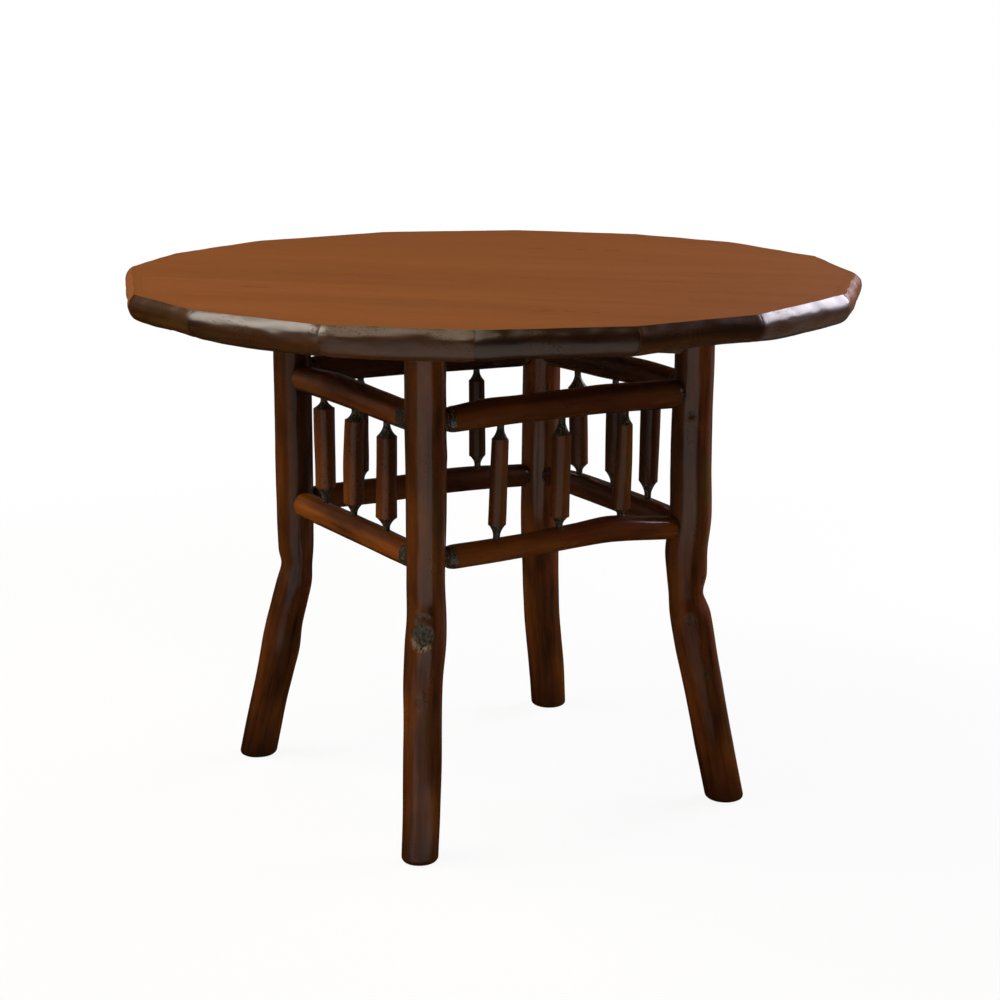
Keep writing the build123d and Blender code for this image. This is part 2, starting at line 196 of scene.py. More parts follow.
@dataclass
class Stretch:
    """Rings of points along a piece, with what its finish needs to know.

    Attributes:
        rings: Points by ring and place round it, anticlockwise seen from the last ring.
        grain: The same points on the straightened piece, with the grain along Z.
        masks: Values at the points by attribute name, where they aren't plain.
    """

    rings: np.ndarray
    grain: np.ndarray
    masks: dict[str, np.ndarray]

    @classmethod
    def joined(cls, stretches: Sequence["Stretch"]) -> "Stretch":
        """Puts stretches together.

        Args:
            stretches: The stretches in order, with as many points in each ring.

        Returns:
            One stretch.
        """
        masks = {
            name: np.concatenate([part.mask(name) for part in stretches]) for name in PLAIN_MASKS
        }
        rings = np.concatenate([part.rings for part in stretches])
        return cls(rings, np.concatenate([part.grain for part in stretches]), masks)

    def mask(self, name: str) -> np.ndarray:
        """An attribute's values by ring and place round it."""
        return self.masks.get(name, np.full(self.rings.shape[:2], PLAIN_MASKS[name]))

    def build(
        self,
        name: str,
        finishes: Sequence[bpy.types.Material],
        sharp_deg: float,
        strips: Sequence[int] | None = None,
    ) -> bpy.types.Object:
        """Skins the rings and closes both ends with a face.

        Args:
            name: The object's name.
            finishes: Its materials.
            sharp_deg: Edges that turn by more than this stay sharp.
            strips: Which material each strip round the ring has, or None for the first one.

        Returns:
            The object, linked to the scene.
        """
        count, around = self.rings.shape[:2]
        last = (count - 1) * around
        faces = []
        for start in range(0, last, around):
            for step in range(around):
                a, b = start + step, start + (step + 1) % around
                faces.append((a, b, b + around, a + around))
        faces += [tuple(reversed(range(around))), tuple(range(last, last + around))]
        mesh = bpy.data.meshes.new(name)
        mesh.from_pydata(self.rings.reshape(-1, 3).tolist(), [], faces)
        for finish in finishes:
            mesh.materials.append(finish)
        numbers = [*(strips or [0] * around)] * (count - 1) + [0, 0]
        mesh.polygons.foreach_set("material_index", numbers)
        mesh.polygons.foreach_set("use_smooth", [True] * len(faces))
        grain = mesh.attributes.new(GRAIN, "FLOAT_VECTOR", "POINT")
        grain.data.foreach_set("vector", self.grain.astype(np.float32).ravel())
        for mask in PLAIN_MASKS:
            values = mesh.attributes.new(mask, "FLOAT", "POINT")
            values.data.foreach_set("value", self.mask(mask).astype(np.float32).ravel())
        mesh.update()
        mesh.set_sharp_from_angle(angle=math.radians(sharp_deg))
        return link(name, mesh)


def place_piece(made: bpy.types.Object, node: str, slot: Slot) -> None:
    """Lets a piece stand for its CAD node and report itself.

    Args:
        made: The piece.
        node: The CAD node.
        slot: The record's material slot.
    """
    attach(made, ROOT)
    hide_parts(node)
    log.info("%s: %d faces, finish %s", made.name, len(made.data.polygons), slot.value)


def dress_node(node: str, finish: bpy.types.Material) -> None:
    """Gives a carried-over CAD node its finish.

    Args:
        node: The CAD node.
        finish: The finish's material.
    """
    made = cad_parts[node]
    made.data.materials.clear()
    made.data.materials.append(finish)
    log.info("%s: shape kept, finish %s", node, finish.name)


# ---- finishes ------------------------------------------------------------------------------
@dataclass(frozen=True)
class Signal:
    """What a node gives, with arithmetic for the numbers among them."""

    recipe: "Recipe"
    socket: bpy.types.NodeSocket

    def _maths(self, operation: str, first: object, second: object) -> "Signal":
        """A Math node on two values."""
        return self.recipe.node("ShaderNodeMath", {"operation": operation}, {0: first, 1: second})

    def __add__(self, other: object) -> "Signal":
        """self + other."""
        return self._maths("ADD", self, other)

    def __radd__(self, other: object) -> "Signal":
        """other + self."""
        return self._maths("ADD", other, self)

    def __sub__(self, other: object) -> "Signal":
        """self - other."""
        return self._maths("SUBTRACT", self, other)

    def __rsub__(self, other: object) -> "Signal":
        """other - self."""
        return self._maths("SUBTRACT", other, self)

    def __mul__(self, other: object) -> "Signal":
        """self * other."""
        return self._maths("MULTIPLY", self, other)

    def __rmul__(self, other: object) -> "Signal":
        """other * self."""
        return self._maths("MULTIPLY", other, self)

    def between(self, low: float, high: float) -> "Signal":
        """A smooth 0 to 1 as the value goes from low to high, or down where low is above high.

        Args:
            low: The value that gives 0.
            high: The value that gives 1.

        Returns:
            The share.
        """
        return self.recipe.node(
            "ShaderNodeMapRange",
            {"interpolation_type": "SMOOTHSTEP", "clamp": True},
            {0: self, 1: low, 2: high, 3: 0.0, 4: 1.0},
        )


class Recipe:
    """A shader tree, made one node at a time."""

    def __init__(self, tree: bpy.types.NodeTree) -> None:
        """Empties the tree."""
        self.tree = tree
        tree.nodes.clear()

    def node(
        self,
        kind: str,
        settings: dict[str, object] | None = None,
        sockets: dict[int | str, object] | None = None,
        output: int | str = 0,
    ) -> Signal:
        """Makes any node.

        Args:
            kind: The node's type.
            settings: Its settings, with a colour ramp's stops under "stops".
            sockets: Values or signals for its inputs, by number or name.
            output: Which output the result stands for.

        Returns:
            The chosen output.
        """
        made = self.tree.nodes.new(kind)
        for name, value in (settings or {}).items():
            if name == "stops":
                self._set_stops(made.color_ramp, value)
            else:
                setattr(made, name, value)
        for key, value in (sockets or {}).items():
            socket = made.inputs[key]
            if isinstance(value, Signal):
                self.tree.links.new(value.socket, socket)
            elif socket.type == "RGBA":
                socket.default_value = (*value, 1.0)
            else:
                socket.default_value = value
        return Signal(self, made.outputs[output] if len(made.outputs) else None)

    @staticmethod
    def _set_stops(ramp: bpy.types.ColorRamp, stops: Sequence[tuple[float, Colour]]) -> None:
        """Fills a colour ramp.

        Args:
            ramp: The ramp.
            stops: Its places and colours, in rising order.
        """
        while len(ramp.elements) < len(stops):
            ramp.elements.new(1.0)
        for element, (place, colour) in zip(ramp.elements, stops):
            element.position = place
            element.color = (*colour, 1.0)

    def noise(self, where: Signal, stretch: Colour, detail: float = 3.0, seed: float = 0.0) -> Signal:
        """Cloudy unevenness from 0 to 1.

        Args:
            where: The coordinates, in metres.
            stretch: How many swells there are in a metre along X, Y and Z.
            detail: How many finer layers it has.
            seed: Moves it to another part of the pattern.

        Returns:
            The value.
        """
        moved = self.node(
            "ShaderNodeVectorMath",
            {"operation": "MULTIPLY_ADD"},
            {0: where, 1: stretch, 2: (seed, 2.3 * seed, 1.7 * seed)},
        )
        return self.node("ShaderNodeTexNoise", {}, {"Vector": moved, "Scale": 1.0, "Detail": detail})

    def attribute(self, name: str, output: str) -> Signal:
        """An attribute of the mesh."""
        settings = {"attribute_type": "GEOMETRY", "attribute_name": name}
        return self.node("ShaderNodeAttribute", settings, output=output)

    def ramp(self, value: Signal, stops: Sequence[tuple[float, Colour]]) -> Signal:
        """A colour looked up by a value."""
        return self.node("ShaderNodeValToRGB", {"stops": stops}, {0: value})

    def mix(self, share: object, first: object, second: object, blend: str = "MIX") -> Signal:
        """Two colours mixed by a share of the second.

        Args:
            share: How much of the second, from 0 to 1.
            first: The first colour.
            second: The second colour.
            blend: How they are mixed.

        Returns:
            The mixed colour.
        """
        return self.node(
            "ShaderNodeMix",
            {"data_type": "RGBA", "blend_type": blend},
            {0: share, 6: first, 7: second},
            output=2,
        )

    def darken(self, colour: Signal, by: object) -> Signal:
        """A colour times another."""
        return self.mix(1.0, colour, by, "MULTIPLY")

    def own_place(self, turned_deg: float | None = None) -> Signal:
        """Coordinates in the object, in metres.

        Args:
            turned_deg: A direction, from +X seen from above, that is laid along X.

        Returns:
            The coordinates.
        """
        here = self.node("ShaderNodeTexCoord", output="Object")
        if turned_deg is None:
            return here
        turn = {"Vector": here, "Angle": -math.radians(turned_deg)}
        return self.node("ShaderNodeVectorRotate", {"rotation_type": "Z_AXIS"}, turn)

    def parts(self, where: Signal) -> tuple[Signal, ...]:
        """The X, Y and Z of coordinates."""
        outputs = self.node("ShaderNodeSeparateXYZ", {}, {0: where}).socket.node.outputs
        return tuple(Signal(self, output) for output in outputs)

    def length(self, where: Signal) -> Signal:
        """How far coordinates are from their origin."""
        return self.node("ShaderNodeVectorMath", {"operation": "LENGTH"}, {0: where}, "Value")

    def seen_plainly(self) -> Signal:
        """1 where the eye, a mirror image or a view through glass looks here, else 0.

        Returns:
            The share.
        """
        path = self.node("ShaderNodeLightPath").socket.node.outputs
        rays = ("Is Camera Ray", "Is Glossy Ray", "Is Transmission Ray")
        straight, glossy, through = (Signal(self, path[name]) for name in rays)
        return straight + glossy + through

    def bump(self, height: Signal, depth: float) -> Signal:
        """A surface normal from a height.

        Args:
            height: The height, from 0 to 1.
            depth: How many metres 1 stands for.

        Returns:
            The normal.
        """
        return self.node("ShaderNodeBump", {}, {"Strength": 1.0, "Distance": depth, "Height": height})

    def finish(self, surface: dict[int | str, object]) -> None:
        """Ends a material with one Principled surface."""
        made = self.node("ShaderNodeBsdfPrincipled", {}, surface)
        self.node("ShaderNodeOutputMaterial", {}, {"Surface": made})


class Finish:
    """What every finish has in common."""

    name: str

    def paint(self, recipe: Recipe) -> None:
        """Mixes the finish."""
        raise NotImplementedError

    def material(self) -> bpy.types.Material:
        """Makes the material.

        Returns:
            The material with its nodes.
        """
        made = bpy.data.materials.new(self.name)
        made.use_nodes = True
        self.paint(Recipe(made.node_tree))
        return made


@dataclass(frozen=True)
class PlanedWood(Finish):
    """Stained boards under a thin satin varnish, with fine streaks and pores along the grain."""

    name: str
    tone: float = 1.0
    seed: float = 0.0
    grain_deg: float | None = None
    light: Colour = (0.215, 0.0730, 0.0175)
    middle: Colour = (0.202, 0.0672, 0.0155)
    dark: Colour = (0.178, 0.0582, 0.0130)
    pore: Colour = (0.09, 0.028, 0.008)
    dash: Colour = (0.05, 0.017, 0.006)
    marks: Stations = ()
    gloss_roughness: float = 0.5

    def _place(self, recipe: Recipe) -> Signal:
        """Coordinates with the grain along Z.

        Args:
            recipe: The material's tree.

        Returns:
            The coordinates.
        """
        if self.grain_deg is None:
            return recipe.attribute(GRAIN, "Vector")
        # The turn lays the grain along X; swapping the axes then stands it on Z.
        along, across, height = recipe.parts(recipe.own_place(self.grain_deg))
        return recipe.node("ShaderNodeCombineXYZ", {}, {0: across, 1: height, 2: along})

    def paint(self, recipe: Recipe) -> None:
        """Mixes the finish.

        Args:
            recipe: The material's tree.
        """
        place = self._place(recipe)
        clouds = recipe.noise(place, (5.0, 5.0, 1.6), 3.0, self.seed)
        figure = recipe.noise(place, (46.0, 46.0, 2.6), 4.0, self.seed + 3.0)
        streaks = recipe.noise(place, (260.0, 260.0, 9.0), 3.0, self.seed + 7.0)
        pores = recipe.noise(place, (800.0, 800.0, 42.0), 2.0, self.seed + 11.0)
        dashes = recipe.noise(place, (300.0, 300.0, 30.0), 1.0, self.seed + 17.0)
        value = clouds * 0.22 + figure * 0.44 + streaks * 0.34
        colour = recipe.ramp(value, [(0.36, self.dark), (0.5, self.middle), (0.64, self.light)])
        pore = pores.between(0.66, 0.74) * 0.34
        dash = dashes.between(0.735, 0.79) * figure.between(0.56, 0.46) * 0.5
        for along, across, half_length, half_width in self.marks:
            scale = (1 / (half_width * MM), 0.0, 1 / (half_length * MM))
            shift = (-across / half_width, 0.0, -along / half_length)
            apart = recipe.node(
                "ShaderNodeVectorMath", {"operation": "MULTIPLY_ADD"}, {0: place, 1: scale, 2: shift}
            )
            ragged = recipe.length(apart) + (streaks - 0.5) * 1.6
            dash = dash + ragged.between(1.0, 0.4) * 0.85
        colour = recipe.mix(pore, colour, self.pore)
        colour = recipe.mix(dash, colour, self.dash)
        height = streaks * 0.5 + (1.0 - pore) * 0.5
        recipe.finish(
            {
                "Base Color": recipe.darken(colour, (self.tone,) * 3),
                "Roughness": self.gloss_roughness + (figure - 0.5) * 0.12 + pore * 0.3,
                "Specular IOR Level": 0.12,
                "Normal": recipe.bump(height, 0.00008),
            }
        )


@dataclass(frozen=True)
class PoleBark(Finish):
    """A peeled pole under thick clear varnish, with bark streaks, cut wood and knot scars."""

    name: str
    seed: float = 0.0
    amber: Colour = (0.156, 0.0415, 0.0012)
    mahogany: Colour = (0.090, 0.0226, 0.0007)
    umber: Colour = (0.026, 0.0060, 0.0005)
    olive: Colour = (0.066, 0.0300, 0.0030)
    russet: Colour = (0.098, 0.0150, 0.0006)
    turned: Colour = (0.019, 0.0118, 0.0045)
    lathe_ring: Colour = (0.042, 0.031, 0.016)
    painted_glint: Colour = (0.26, 0.228, 0.155)
    worn: Colour = (0.212, 0.071, 0.0180)
    scar: tuple[tuple[float, Colour], ...] = (
        (0.38, (0.006, 0.004, 0.002)), (0.46, (0.032, 0.025, 0.016)), (0.7, (0.080, 0.064, 0.044)),
    )
    varnish_roughness: float = 0.16
    varnish: float = 1.0
    lumps: float = 1.2

    def paint(self, recipe: Recipe) -> None:
        """Mixes the finish.

        Args:
            recipe: The material's tree.
        """
        place = recipe.attribute(GRAIN, "Vector")
        turned, scar, worn, tone, gloss = (recipe.attribute(name, "Fac") for name in PLAIN_MASKS)
        clouds = recipe.noise(place, (16.0, 16.0, 5.0), 3.0, self.seed)
        streaks = recipe.noise(place, (120.0, 120.0, 8.0), 4.0, self.seed + 5.0)
        ribs = recipe.noise(place, (420.0, 420.0, 24.0), 3.0, self.seed + 9.0)
        specks = recipe.noise(place, (520.0, 520.0, 210.0), 2.0, self.seed + 13.0)
        blots = recipe.noise(place, (34.0, 34.0, 14.0), 2.0, self.seed + 17.0)
        value = clouds * 0.42 + blots * 0.22 + streaks * 0.25 + ribs * 0.11
        colour = recipe.ramp(value, [(0.37, self.umber), (0.49, self.mahogany), (0.62, self.amber)])
        hues = recipe.noise(place, (24.0, 24.0, 9.0), 2.0, self.seed + 41.0)
        colour = recipe.mix(hues.between(0.54, 0.68) * 0.55, colour, self.olive)
        colour = recipe.mix(hues.between(0.44, 0.32) * 0.45, colour, self.russet)
        speck = specks.between(0.70, 0.76)
        colour = recipe.mix(speck * 0.6, colour, self.umber)
        pits = recipe.noise(place, (650.0, 650.0, 300.0), 3.0, self.seed + 51.0)
        pits = pits.between(0.58, 0.64) * blots.between(0.50, 0.60)
        colour = recipe.mix(pits * 0.8, colour, self.umber)
        # The tone darkens or lightens the bark by the stain's mottling and by the painted light and
        # shade that the piece carries.
        toned = recipe.node("ShaderNodeCombineXYZ", {}, {0: tone, 1: tone, 2: tone})
        colour = recipe.darken(colour, toned)
        rings = recipe.noise(place, (60.0, 60.0, 900.0), 2.0, self.seed + 21.0)
        cut = recipe.mix(rings, self.turned, self.lathe_ring)
        # Painted glints: pale specks on the turned wood stand in for sparkles of light; the same noise
        # roughens the lathe's cut in the bump.
        fuzz_and_painted_glints = recipe.noise(place, (420.0, 420.0, 900.0), 2.0, self.seed + 23.0)
        cut = recipe.mix(fuzz_and_painted_glints.between(0.57, 0.69), cut, self.painted_glint)
        colour = recipe.mix(turned, colour, cut)
        colour = recipe.mix(worn, colour, self.worn)
        cracks = recipe.noise(place, (330.0, 330.0, 200.0), 4.0, self.seed + 31.0)
        scarred = recipe.darken(recipe.ramp(cracks, self.scar), toned)
        colour = recipe.mix(scar, colour, scarred)
        clear = (self.varnish - worn * 0.85 - scar * 0.5) * gloss * (1.0 - pits * 0.7)
        bark_height = streaks * 0.5 + ribs * 0.3 + speck * 0.4 + blots * self.lumps
        lathe = rings * 1.6 + fuzz_and_painted_glints * 2.2
        height = bark_height * (1.0 - turned) + lathe * turned + cracks * scar * 1.5
        recipe.finish(
            {
                "Base Color": colour,
                "Roughness": 0.42 + (streaks - 0.5) * 0.3 + speck * 0.2,
                "Specular IOR Level": 0.06,
                "Normal": recipe.bump(height, 0.00035),
                "Coat Weight": clear,
                "Coat Roughness": self.varnish_roughness,
                "Coat IOR": 1.5,
            }
        )


@dataclass(frozen=True)
class SawnWood(Finish):
    """Plain stained boards that are out of sight, with the saw's marks left on."""

    name: str
    grain_deg: float = 0.0
    seed: float = 0.0
    pale: Colour = (0.13, 0.058, 0.024)
    deep: Colour = (0.06, 0.025, 0.011)

    def paint(self, recipe: Recipe) -> None:
        """Mixes the finish.

        Args:
            recipe: The material's tree.
        """
        place = recipe.own_place(self.grain_deg)
        figure = recipe.noise(place, (3.0, 60.0, 60.0), 4.0, self.seed)
        saw = recipe.noise(place, (420.0, 6.0, 6.0), 2.0, self.seed + 4.0)
        fibres = recipe.noise(place, (14.0, 500.0, 500.0), 2.0, self.seed + 8.0)
        value = figure * 0.6 + fibres * 0.25 + saw * 0.15
        recipe.finish(
            {
                "Base Color": recipe.ramp(value, [(0.36, self.deep), (0.64, self.pale)]),
                "Roughness": 0.62 + (figure - 0.5) * 0.2,
                "Normal": recipe.bump(saw * 0.6 + fibres * 0.4, 0.0003),
            }
        )


@dataclass(frozen=True)
class Steel(Finish):
    """Small steel fixings, plated or bright, with faint tarnish."""

    name: str
    colour: Colour = (0.55, 0.52, 0.46)
    tarnish: Colour = (0.28, 0.24, 0.18)
    shine: float = 0.34

    def paint(self, recipe: Recipe) -> None:
        """Mixes the finish.

        Args:
            recipe: The material's tree.
        """
        here = recipe.own_place()
        clouds = recipe.noise(here, (300.0, 300.0, 300.0), 3.0, 2.0)
        scratches = recipe.noise(here, (2400.0, 300.0, 900.0), 2.0, 5.0)
        recipe.finish(
            {
                "Base Color": recipe.mix(clouds.between(0.4, 0.7), self.colour, self.tarnish),
                "Metallic": 1.0,
                "Roughness": self.shine + (clouds - 0.5) * 0.3,
                "Normal": recipe.bump(scratches, 0.00003),
            }
        )


# ---- poles ---------------------------------------------------------------------------------
@dataclass(frozen=True)
class Knot:
    """Where a twig grew: a swelling with a healed scar on it, or a shallow hollow.

    Attributes:
        place: How far along the pole it lies.
        direction_deg: Which way it faces, round the pole.
        length: Its half length along the pole.
        width: Its half width round the pole.
        rise: How far it stands out, or sinks if below 0.
        scar: How much of the scar's cut wood shows, from 0 to 1.
    """

    place: float
    direction_deg: float
    length: float
    width: float
    rise: float
    scar: float = 0.0


@dataclass
class PoleSkin:
    """The uneven round surface of a natural pole, ring by ring.

    Attributes:
        places: Where the rings are, along the pole.
        hearts: The middle of each ring.
        radii: The pole's plain radius at each ring.
        first: The direction in the ring that angles start from.
        second: The direction a quarter turn on.
        around: How many points a ring has.
        seed: Which pole this is.
        liveliness: How strong the unevenness is, 1 for an ordinary pole.
    """

    places: np.ndarray
    hearts: np.ndarray
    radii: np.ndarray
    first: Vector
    second: Vector
    around: int
    seed: float
    liveliness: float = 1.0

    def __post_init__(self) -> None:
        """Works out the straightened surface."""
        self.angles = np.arange(self.around) * (2 * math.pi / self.around)
        self.unit = np.stack([np.cos(self.angles), np.sin(self.angles)], -1)
        self.base = np.repeat(self.radii[:, None], self.around, 1)
        self.scar = np.zeros(self.base.shape)
        self.painted_rim_highlight = np.zeros(self.base.shape)

    def straightened(self, radii: np.ndarray) -> np.ndarray:
        """The points of the pole as if its heart were straight along Z.

        Args:
            radii: A radius for each ring and angle.

        Returns:
            Points by ring and angle.
        """
        flat = radii[..., None] * self.unit[None]
        height = np.broadcast_to(self.places[:, None, None], (*radii.shape, 1))
        return np.concatenate([flat, height], -1)

    def grown(self, knots: Sequence[Knot] = ()) -> np.ndarray:
        """The radius of the bark for each ring and angle.

        Args:
            knots: What stands out or sinks in.

        Returns:
            Radii by ring and angle.
        """
        where = self.straightened(self.base)
        stretched = where * np.array([1.0, 1.0, 0.3])
        oval = np.cos(2 * self.angles[None] + 3.0 * wander(where[:, :1] * [0, 0, 1], 0.25, self.seed))
        swell = 0.16 * oval + 0.62 * wander(stretched, 0.030, self.seed + 1)
        swell = swell + 0.34 * wander(stretched, 0.011, self.seed + 2)
        ribs = wander(where * np.array([1.0, 1.0, 0.09]), 0.0045, self.seed + 3)
        swell = swell + 0.12 * ribs - 0.25
        radii = self.base + swell * MM * self.liveliness
        for knot in knots:
            radii = radii + self._knotted(knot)
        return radii

    def mottled_with_painted_highlight(self) -> np.ndarray:
        """How unevenly the stain took, by ring and angle, about 1, raised where a knot's rim has its
        painted highlight.

        Returns:
            A factor by ring and angle.
        """
        where = self.straightened(self.base)
        patches = wander(where * np.array([1.0, 1.0, 0.4]), 0.032, self.seed + 6)
        # The painted rim highlight makes the tone much lighter there.
        return (1 + 0.34 * patches) * (1 + 3.5 * self.painted_rim_highlight)

    def _knotted(self, knot: Knot) -> np.ndarray:
        """How far a knot moves the surface, and marks its scar and the painted highlight on its rim.

        Args:
            knot: The knot.

        Returns:
            How far out the surface moves, by ring and angle.
        """
        away = (self.angles - math.radians(knot.direction_deg) + math.pi) % (2 * math.pi) - math.pi
        sideways = away[None] * self.base / knot.width
        lengthways = (self.places[:, None] - knot.place) / knot.length
        distance = np.sqrt(sideways**2 + lengthways**2)
        rise = knot.rise * np.exp(-((distance / 1.05) ** 2))
        if knot.scar:
            where = self.straightened(self.base)
            rough = wander(where, 0.0042, self.seed + 8) + 0.6 * wander(where, 0.0021, self.seed + 9)
            inside = 1 - eased(distance, 0.3, 0.95)
            rim = np.exp(-(((distance - 0.95) / 0.2) ** 2))
            rise = rise + knot.scar * (0.8 * MM * rough * inside - 3.2 * MM * inside + 0.9 * MM * rim)
            # A painted highlight on the scar's lower rim, where the rim would catch the light: drawn in
            # the scar's colour and made much lighter below the scar.
            painted_rim_highlight = np.exp(-(((distance - 0.78 + 0.2 * rough) / 0.22) ** 2))
            painted_rim_highlight = knot.scar**4 * painted_rim_highlight * eased(-lengthways - 0.35 * sideways, 0.1, 0.7)
            self.painted_rim_highlight = np.maximum(self.painted_rim_highlight, painted_rim_highlight)
            self.scar = np.maximum(self.scar, np.clip(1.5 * painted_rim_highlight, 0.0, 1.0))
            self.scar = np.maximum(self.scar, knot.scar * (1 - eased(distance, 0.72, 1.0)))
        return rise

    def stretch(self, radii: np.ndarray, **masks: np.ndarray) -> Stretch:
        """The surface in space.

        Args:
            radii: A radius for each ring and angle.
            masks: Values by attribute name, for each ring and angle.

        Returns:
            The surface as one stretch.
        """
        axes = np.array([self.first, self.second])
        rings = self.hearts[:, None] + (radii[..., None] * self.unit[None]) @ axes
        return Stretch(rings, self.straightened(radii), masks)

    def tenon(self, places: np.ndarray, sizes: np.ndarray, ring: int, axis: int) -> Stretch:
        """A round tenon that goes on from the pole's first or last ring.

        Args:
            places: Where its rings are, along the pole.
            sizes: Their radii.
            ring: The number of the ring that it goes on from.
            axis: The axis that it runs along, 0 for X and 2 for Z.

        Returns:
            The tenon.
        """
        hearts = np.repeat(self.hearts[ring][None], len(places), 0)
        hearts[:, axis] = places
        end = PoleSkin(places, hearts, sizes, self.first, self.second, self.around, self.seed)
        return end.stretch(end.base, **{TURNED: np.ones(end.base.shape)})


# ---- base ----------------------------------------------------------------------------------
POST_HALF_SPAN = 0.214
BATTEN_UNDERSIDE = 0.716
# How long the chamfer on a tenon's end is.
TIP = 0.001


def painted_light_round(left: float, right: float, angles: np.ndarray, start_deg: float = 0.0) -> np.ndarray:
    """A value that changes round an upright pole, from its left to its right as it is shown.

    Args:
        left: The value on the left.
        right: The value on the right.
        angles: Directions round the pole.
        start_deg: The direction, from +X, that the angles start from.

    Returns:
        One row with a value for each angle.
    """
    # Painted light and shade: lighter on one side of the pole and darker on the other, as light falls
    # from the side.
    facing = np.cos(angles + math.radians(start_deg - RIGHT_HAND_DEG))
    return left + (right - left) * eased(facing, -0.7, 0.7)[None]


def build_pole(
    name: str,
    stretches: Sequence[Stretch],
    finish: bpy.types.Material,
    slot: Slot,
    sharp_deg: float,
    side: Side | None = None,
) -> None:
    """Makes one pole's piece.

    Args:
        name: The name of the piece and of the CAD node that it stands for.
        stretches: The pole's stretches, in order.
        finish: Its material.
        slot: Its material slot in the record.
        sharp_deg: Edges that turn by more than this stay sharp.
        side: The side in whose frame the points are, or None for the table's frame.
    """
    whole = Stretch.joined(stretches)
    if side:
        whole.rings = side.world(whole.rings, POST_HALF_SPAN)
    place_piece(whole.build(name, [finish], sharp_deg), name, slot)


@dataclass(frozen=True)
class Leg:
    """One leg as it grew.

    Attributes:
        word: The end of the piece's name.
        corner: The signs of its corner.
        tones: How light the pole is painted above the lower rungs to the left and to the right,
        then below them to the left and to the right: painted light and shade from the sides.
        glosses: How thick the varnish is above the lower rungs and below them.
        stations: Height, how far the heart has moved out along the diagonal, how far
            sideways, and the radius, in mm.
        knots: What has grown on it.
        around: How many points a ring of its mesh has.
    """

    word: str
    corner: tuple[int, int]
    tones: tuple[float, float, float, float]
    glosses: tuple[float, float]
    stations: Stations
    knots: tuple[Knot, ...]
    around: int = 72


LEGS = (
    Leg(
        "front_left", (-1, -1), (1.08, 1.0, 0.85, 1.05), (1.0, 1.0),
        (
            (0, 61, 5, 25.8), (60, 49, 4, 25.8), (125, 37, 2, 26.4), (190, 25, -1, 26.4),
            (238, 16, -3, 27.1), (290, 7, -2, 28.4), (330, 1, -2, 27.4), (380, 0, -3, 26.7),
            (460, 0, -2, 28.0), (535, 0, -1.5, 28.4), (605, 0, -2, 28.4),
        ),
        (
            Knot(0.318, -123, 0.024, 0.018, 0.0048),
            Knot(0.311, -127, 0.021, 0.0165, 0.0004, 1.0),
            Knot(0.333, -127, 0.011, 0.0150, 0.0003, 0.45),
            Knot(0.225, -130, 0.012, 0.006, 0.0010, 0.3),
            Knot(0.555, -47, 0.012, 0.008, 0.0012),
        ),
        around=112,
    ),
    Leg(
        "front_right", (1, -1), (0.66, 1.1, 1.1, 1.1), (0.9, 0.3),
        (
            (0, 58, 0, 28.4), (80, 41, 0, 28.6), (152, 26, 0, 28.9), (224, 11, 0, 30.3),
            (278, 1, 0, 30.2), (307, -5, 0, 26.4), (338, -5, 0, 29.4), (373, -6, 0, 30.7),
            (421, -1, 0, 30.6), (492, -2, 0, 29.8), (562, -2, 0, 29.5), (643, 0, 0, 28.6),
        ),
        (
            Knot(0.312, -20, 0.011, 0.012, -0.0028),
            Knot(0.322, -32, 0.004, 0.0025, -0.0016, 0.6),
            Knot(0.330, -69, 0.011, 0.0018, -0.0006, 0.8),
            Knot(0.575, -124, 0.008, 0.007, -0.0007, 0.7),
            Knot(0.276, -122, 0.012, 0.011, 0.0014, 0.32),
            Knot(0.196, -104, 0.008, 0.004, 0.0009, 0.4),
            Knot(0.388, -75, 0.018, 0.012, 0.0016),
        ),
    ),
    Leg(
        "back_right", (1, 1), (0.95, 1.12, 0.95, 1.12), (0.9, 0.7),
        (
            (0, 61, 1, 27.6), (79, 46, 2, 29.2), (165, 29, 5, 28.9), (249, 14, 4, 29.5),
            (332, 1, 2, 30.4), (384, 0, 2, 30.3), (540, 0, 0, 30.0),
        ),
        (Knot(0.345, 60, 0.012, 0.010, 0.0016, 0.5),),
    ),
    Leg(
        "back_left", (-1, 1), (0.86, 0.45, 0.70, 0.80), (0.5, 0.7),
        (
            (0, 70, 0, 28.3), (93, 49, 0, 28.2), (133, 39, 0, 28.9), (172, 30, 0, 30.0),
            (211, 23, 0, 28.7), (249, 13, 0, 27.9), (281, 5, 0, 27.0), (307, 1, 0, 24.7),
            (335, 1, 0, 26.9), (369, 1, 0, 27.6), (450, 1, 0, 28.1), (614, 1, 0, 28.3),
        ),
        (
            Knot(0.309, 165, 0.012, 0.012, -0.0026),
            Knot(0.180, 100, 0.010, 0.008, 0.0012, 0.5),
        ),
    ),
)


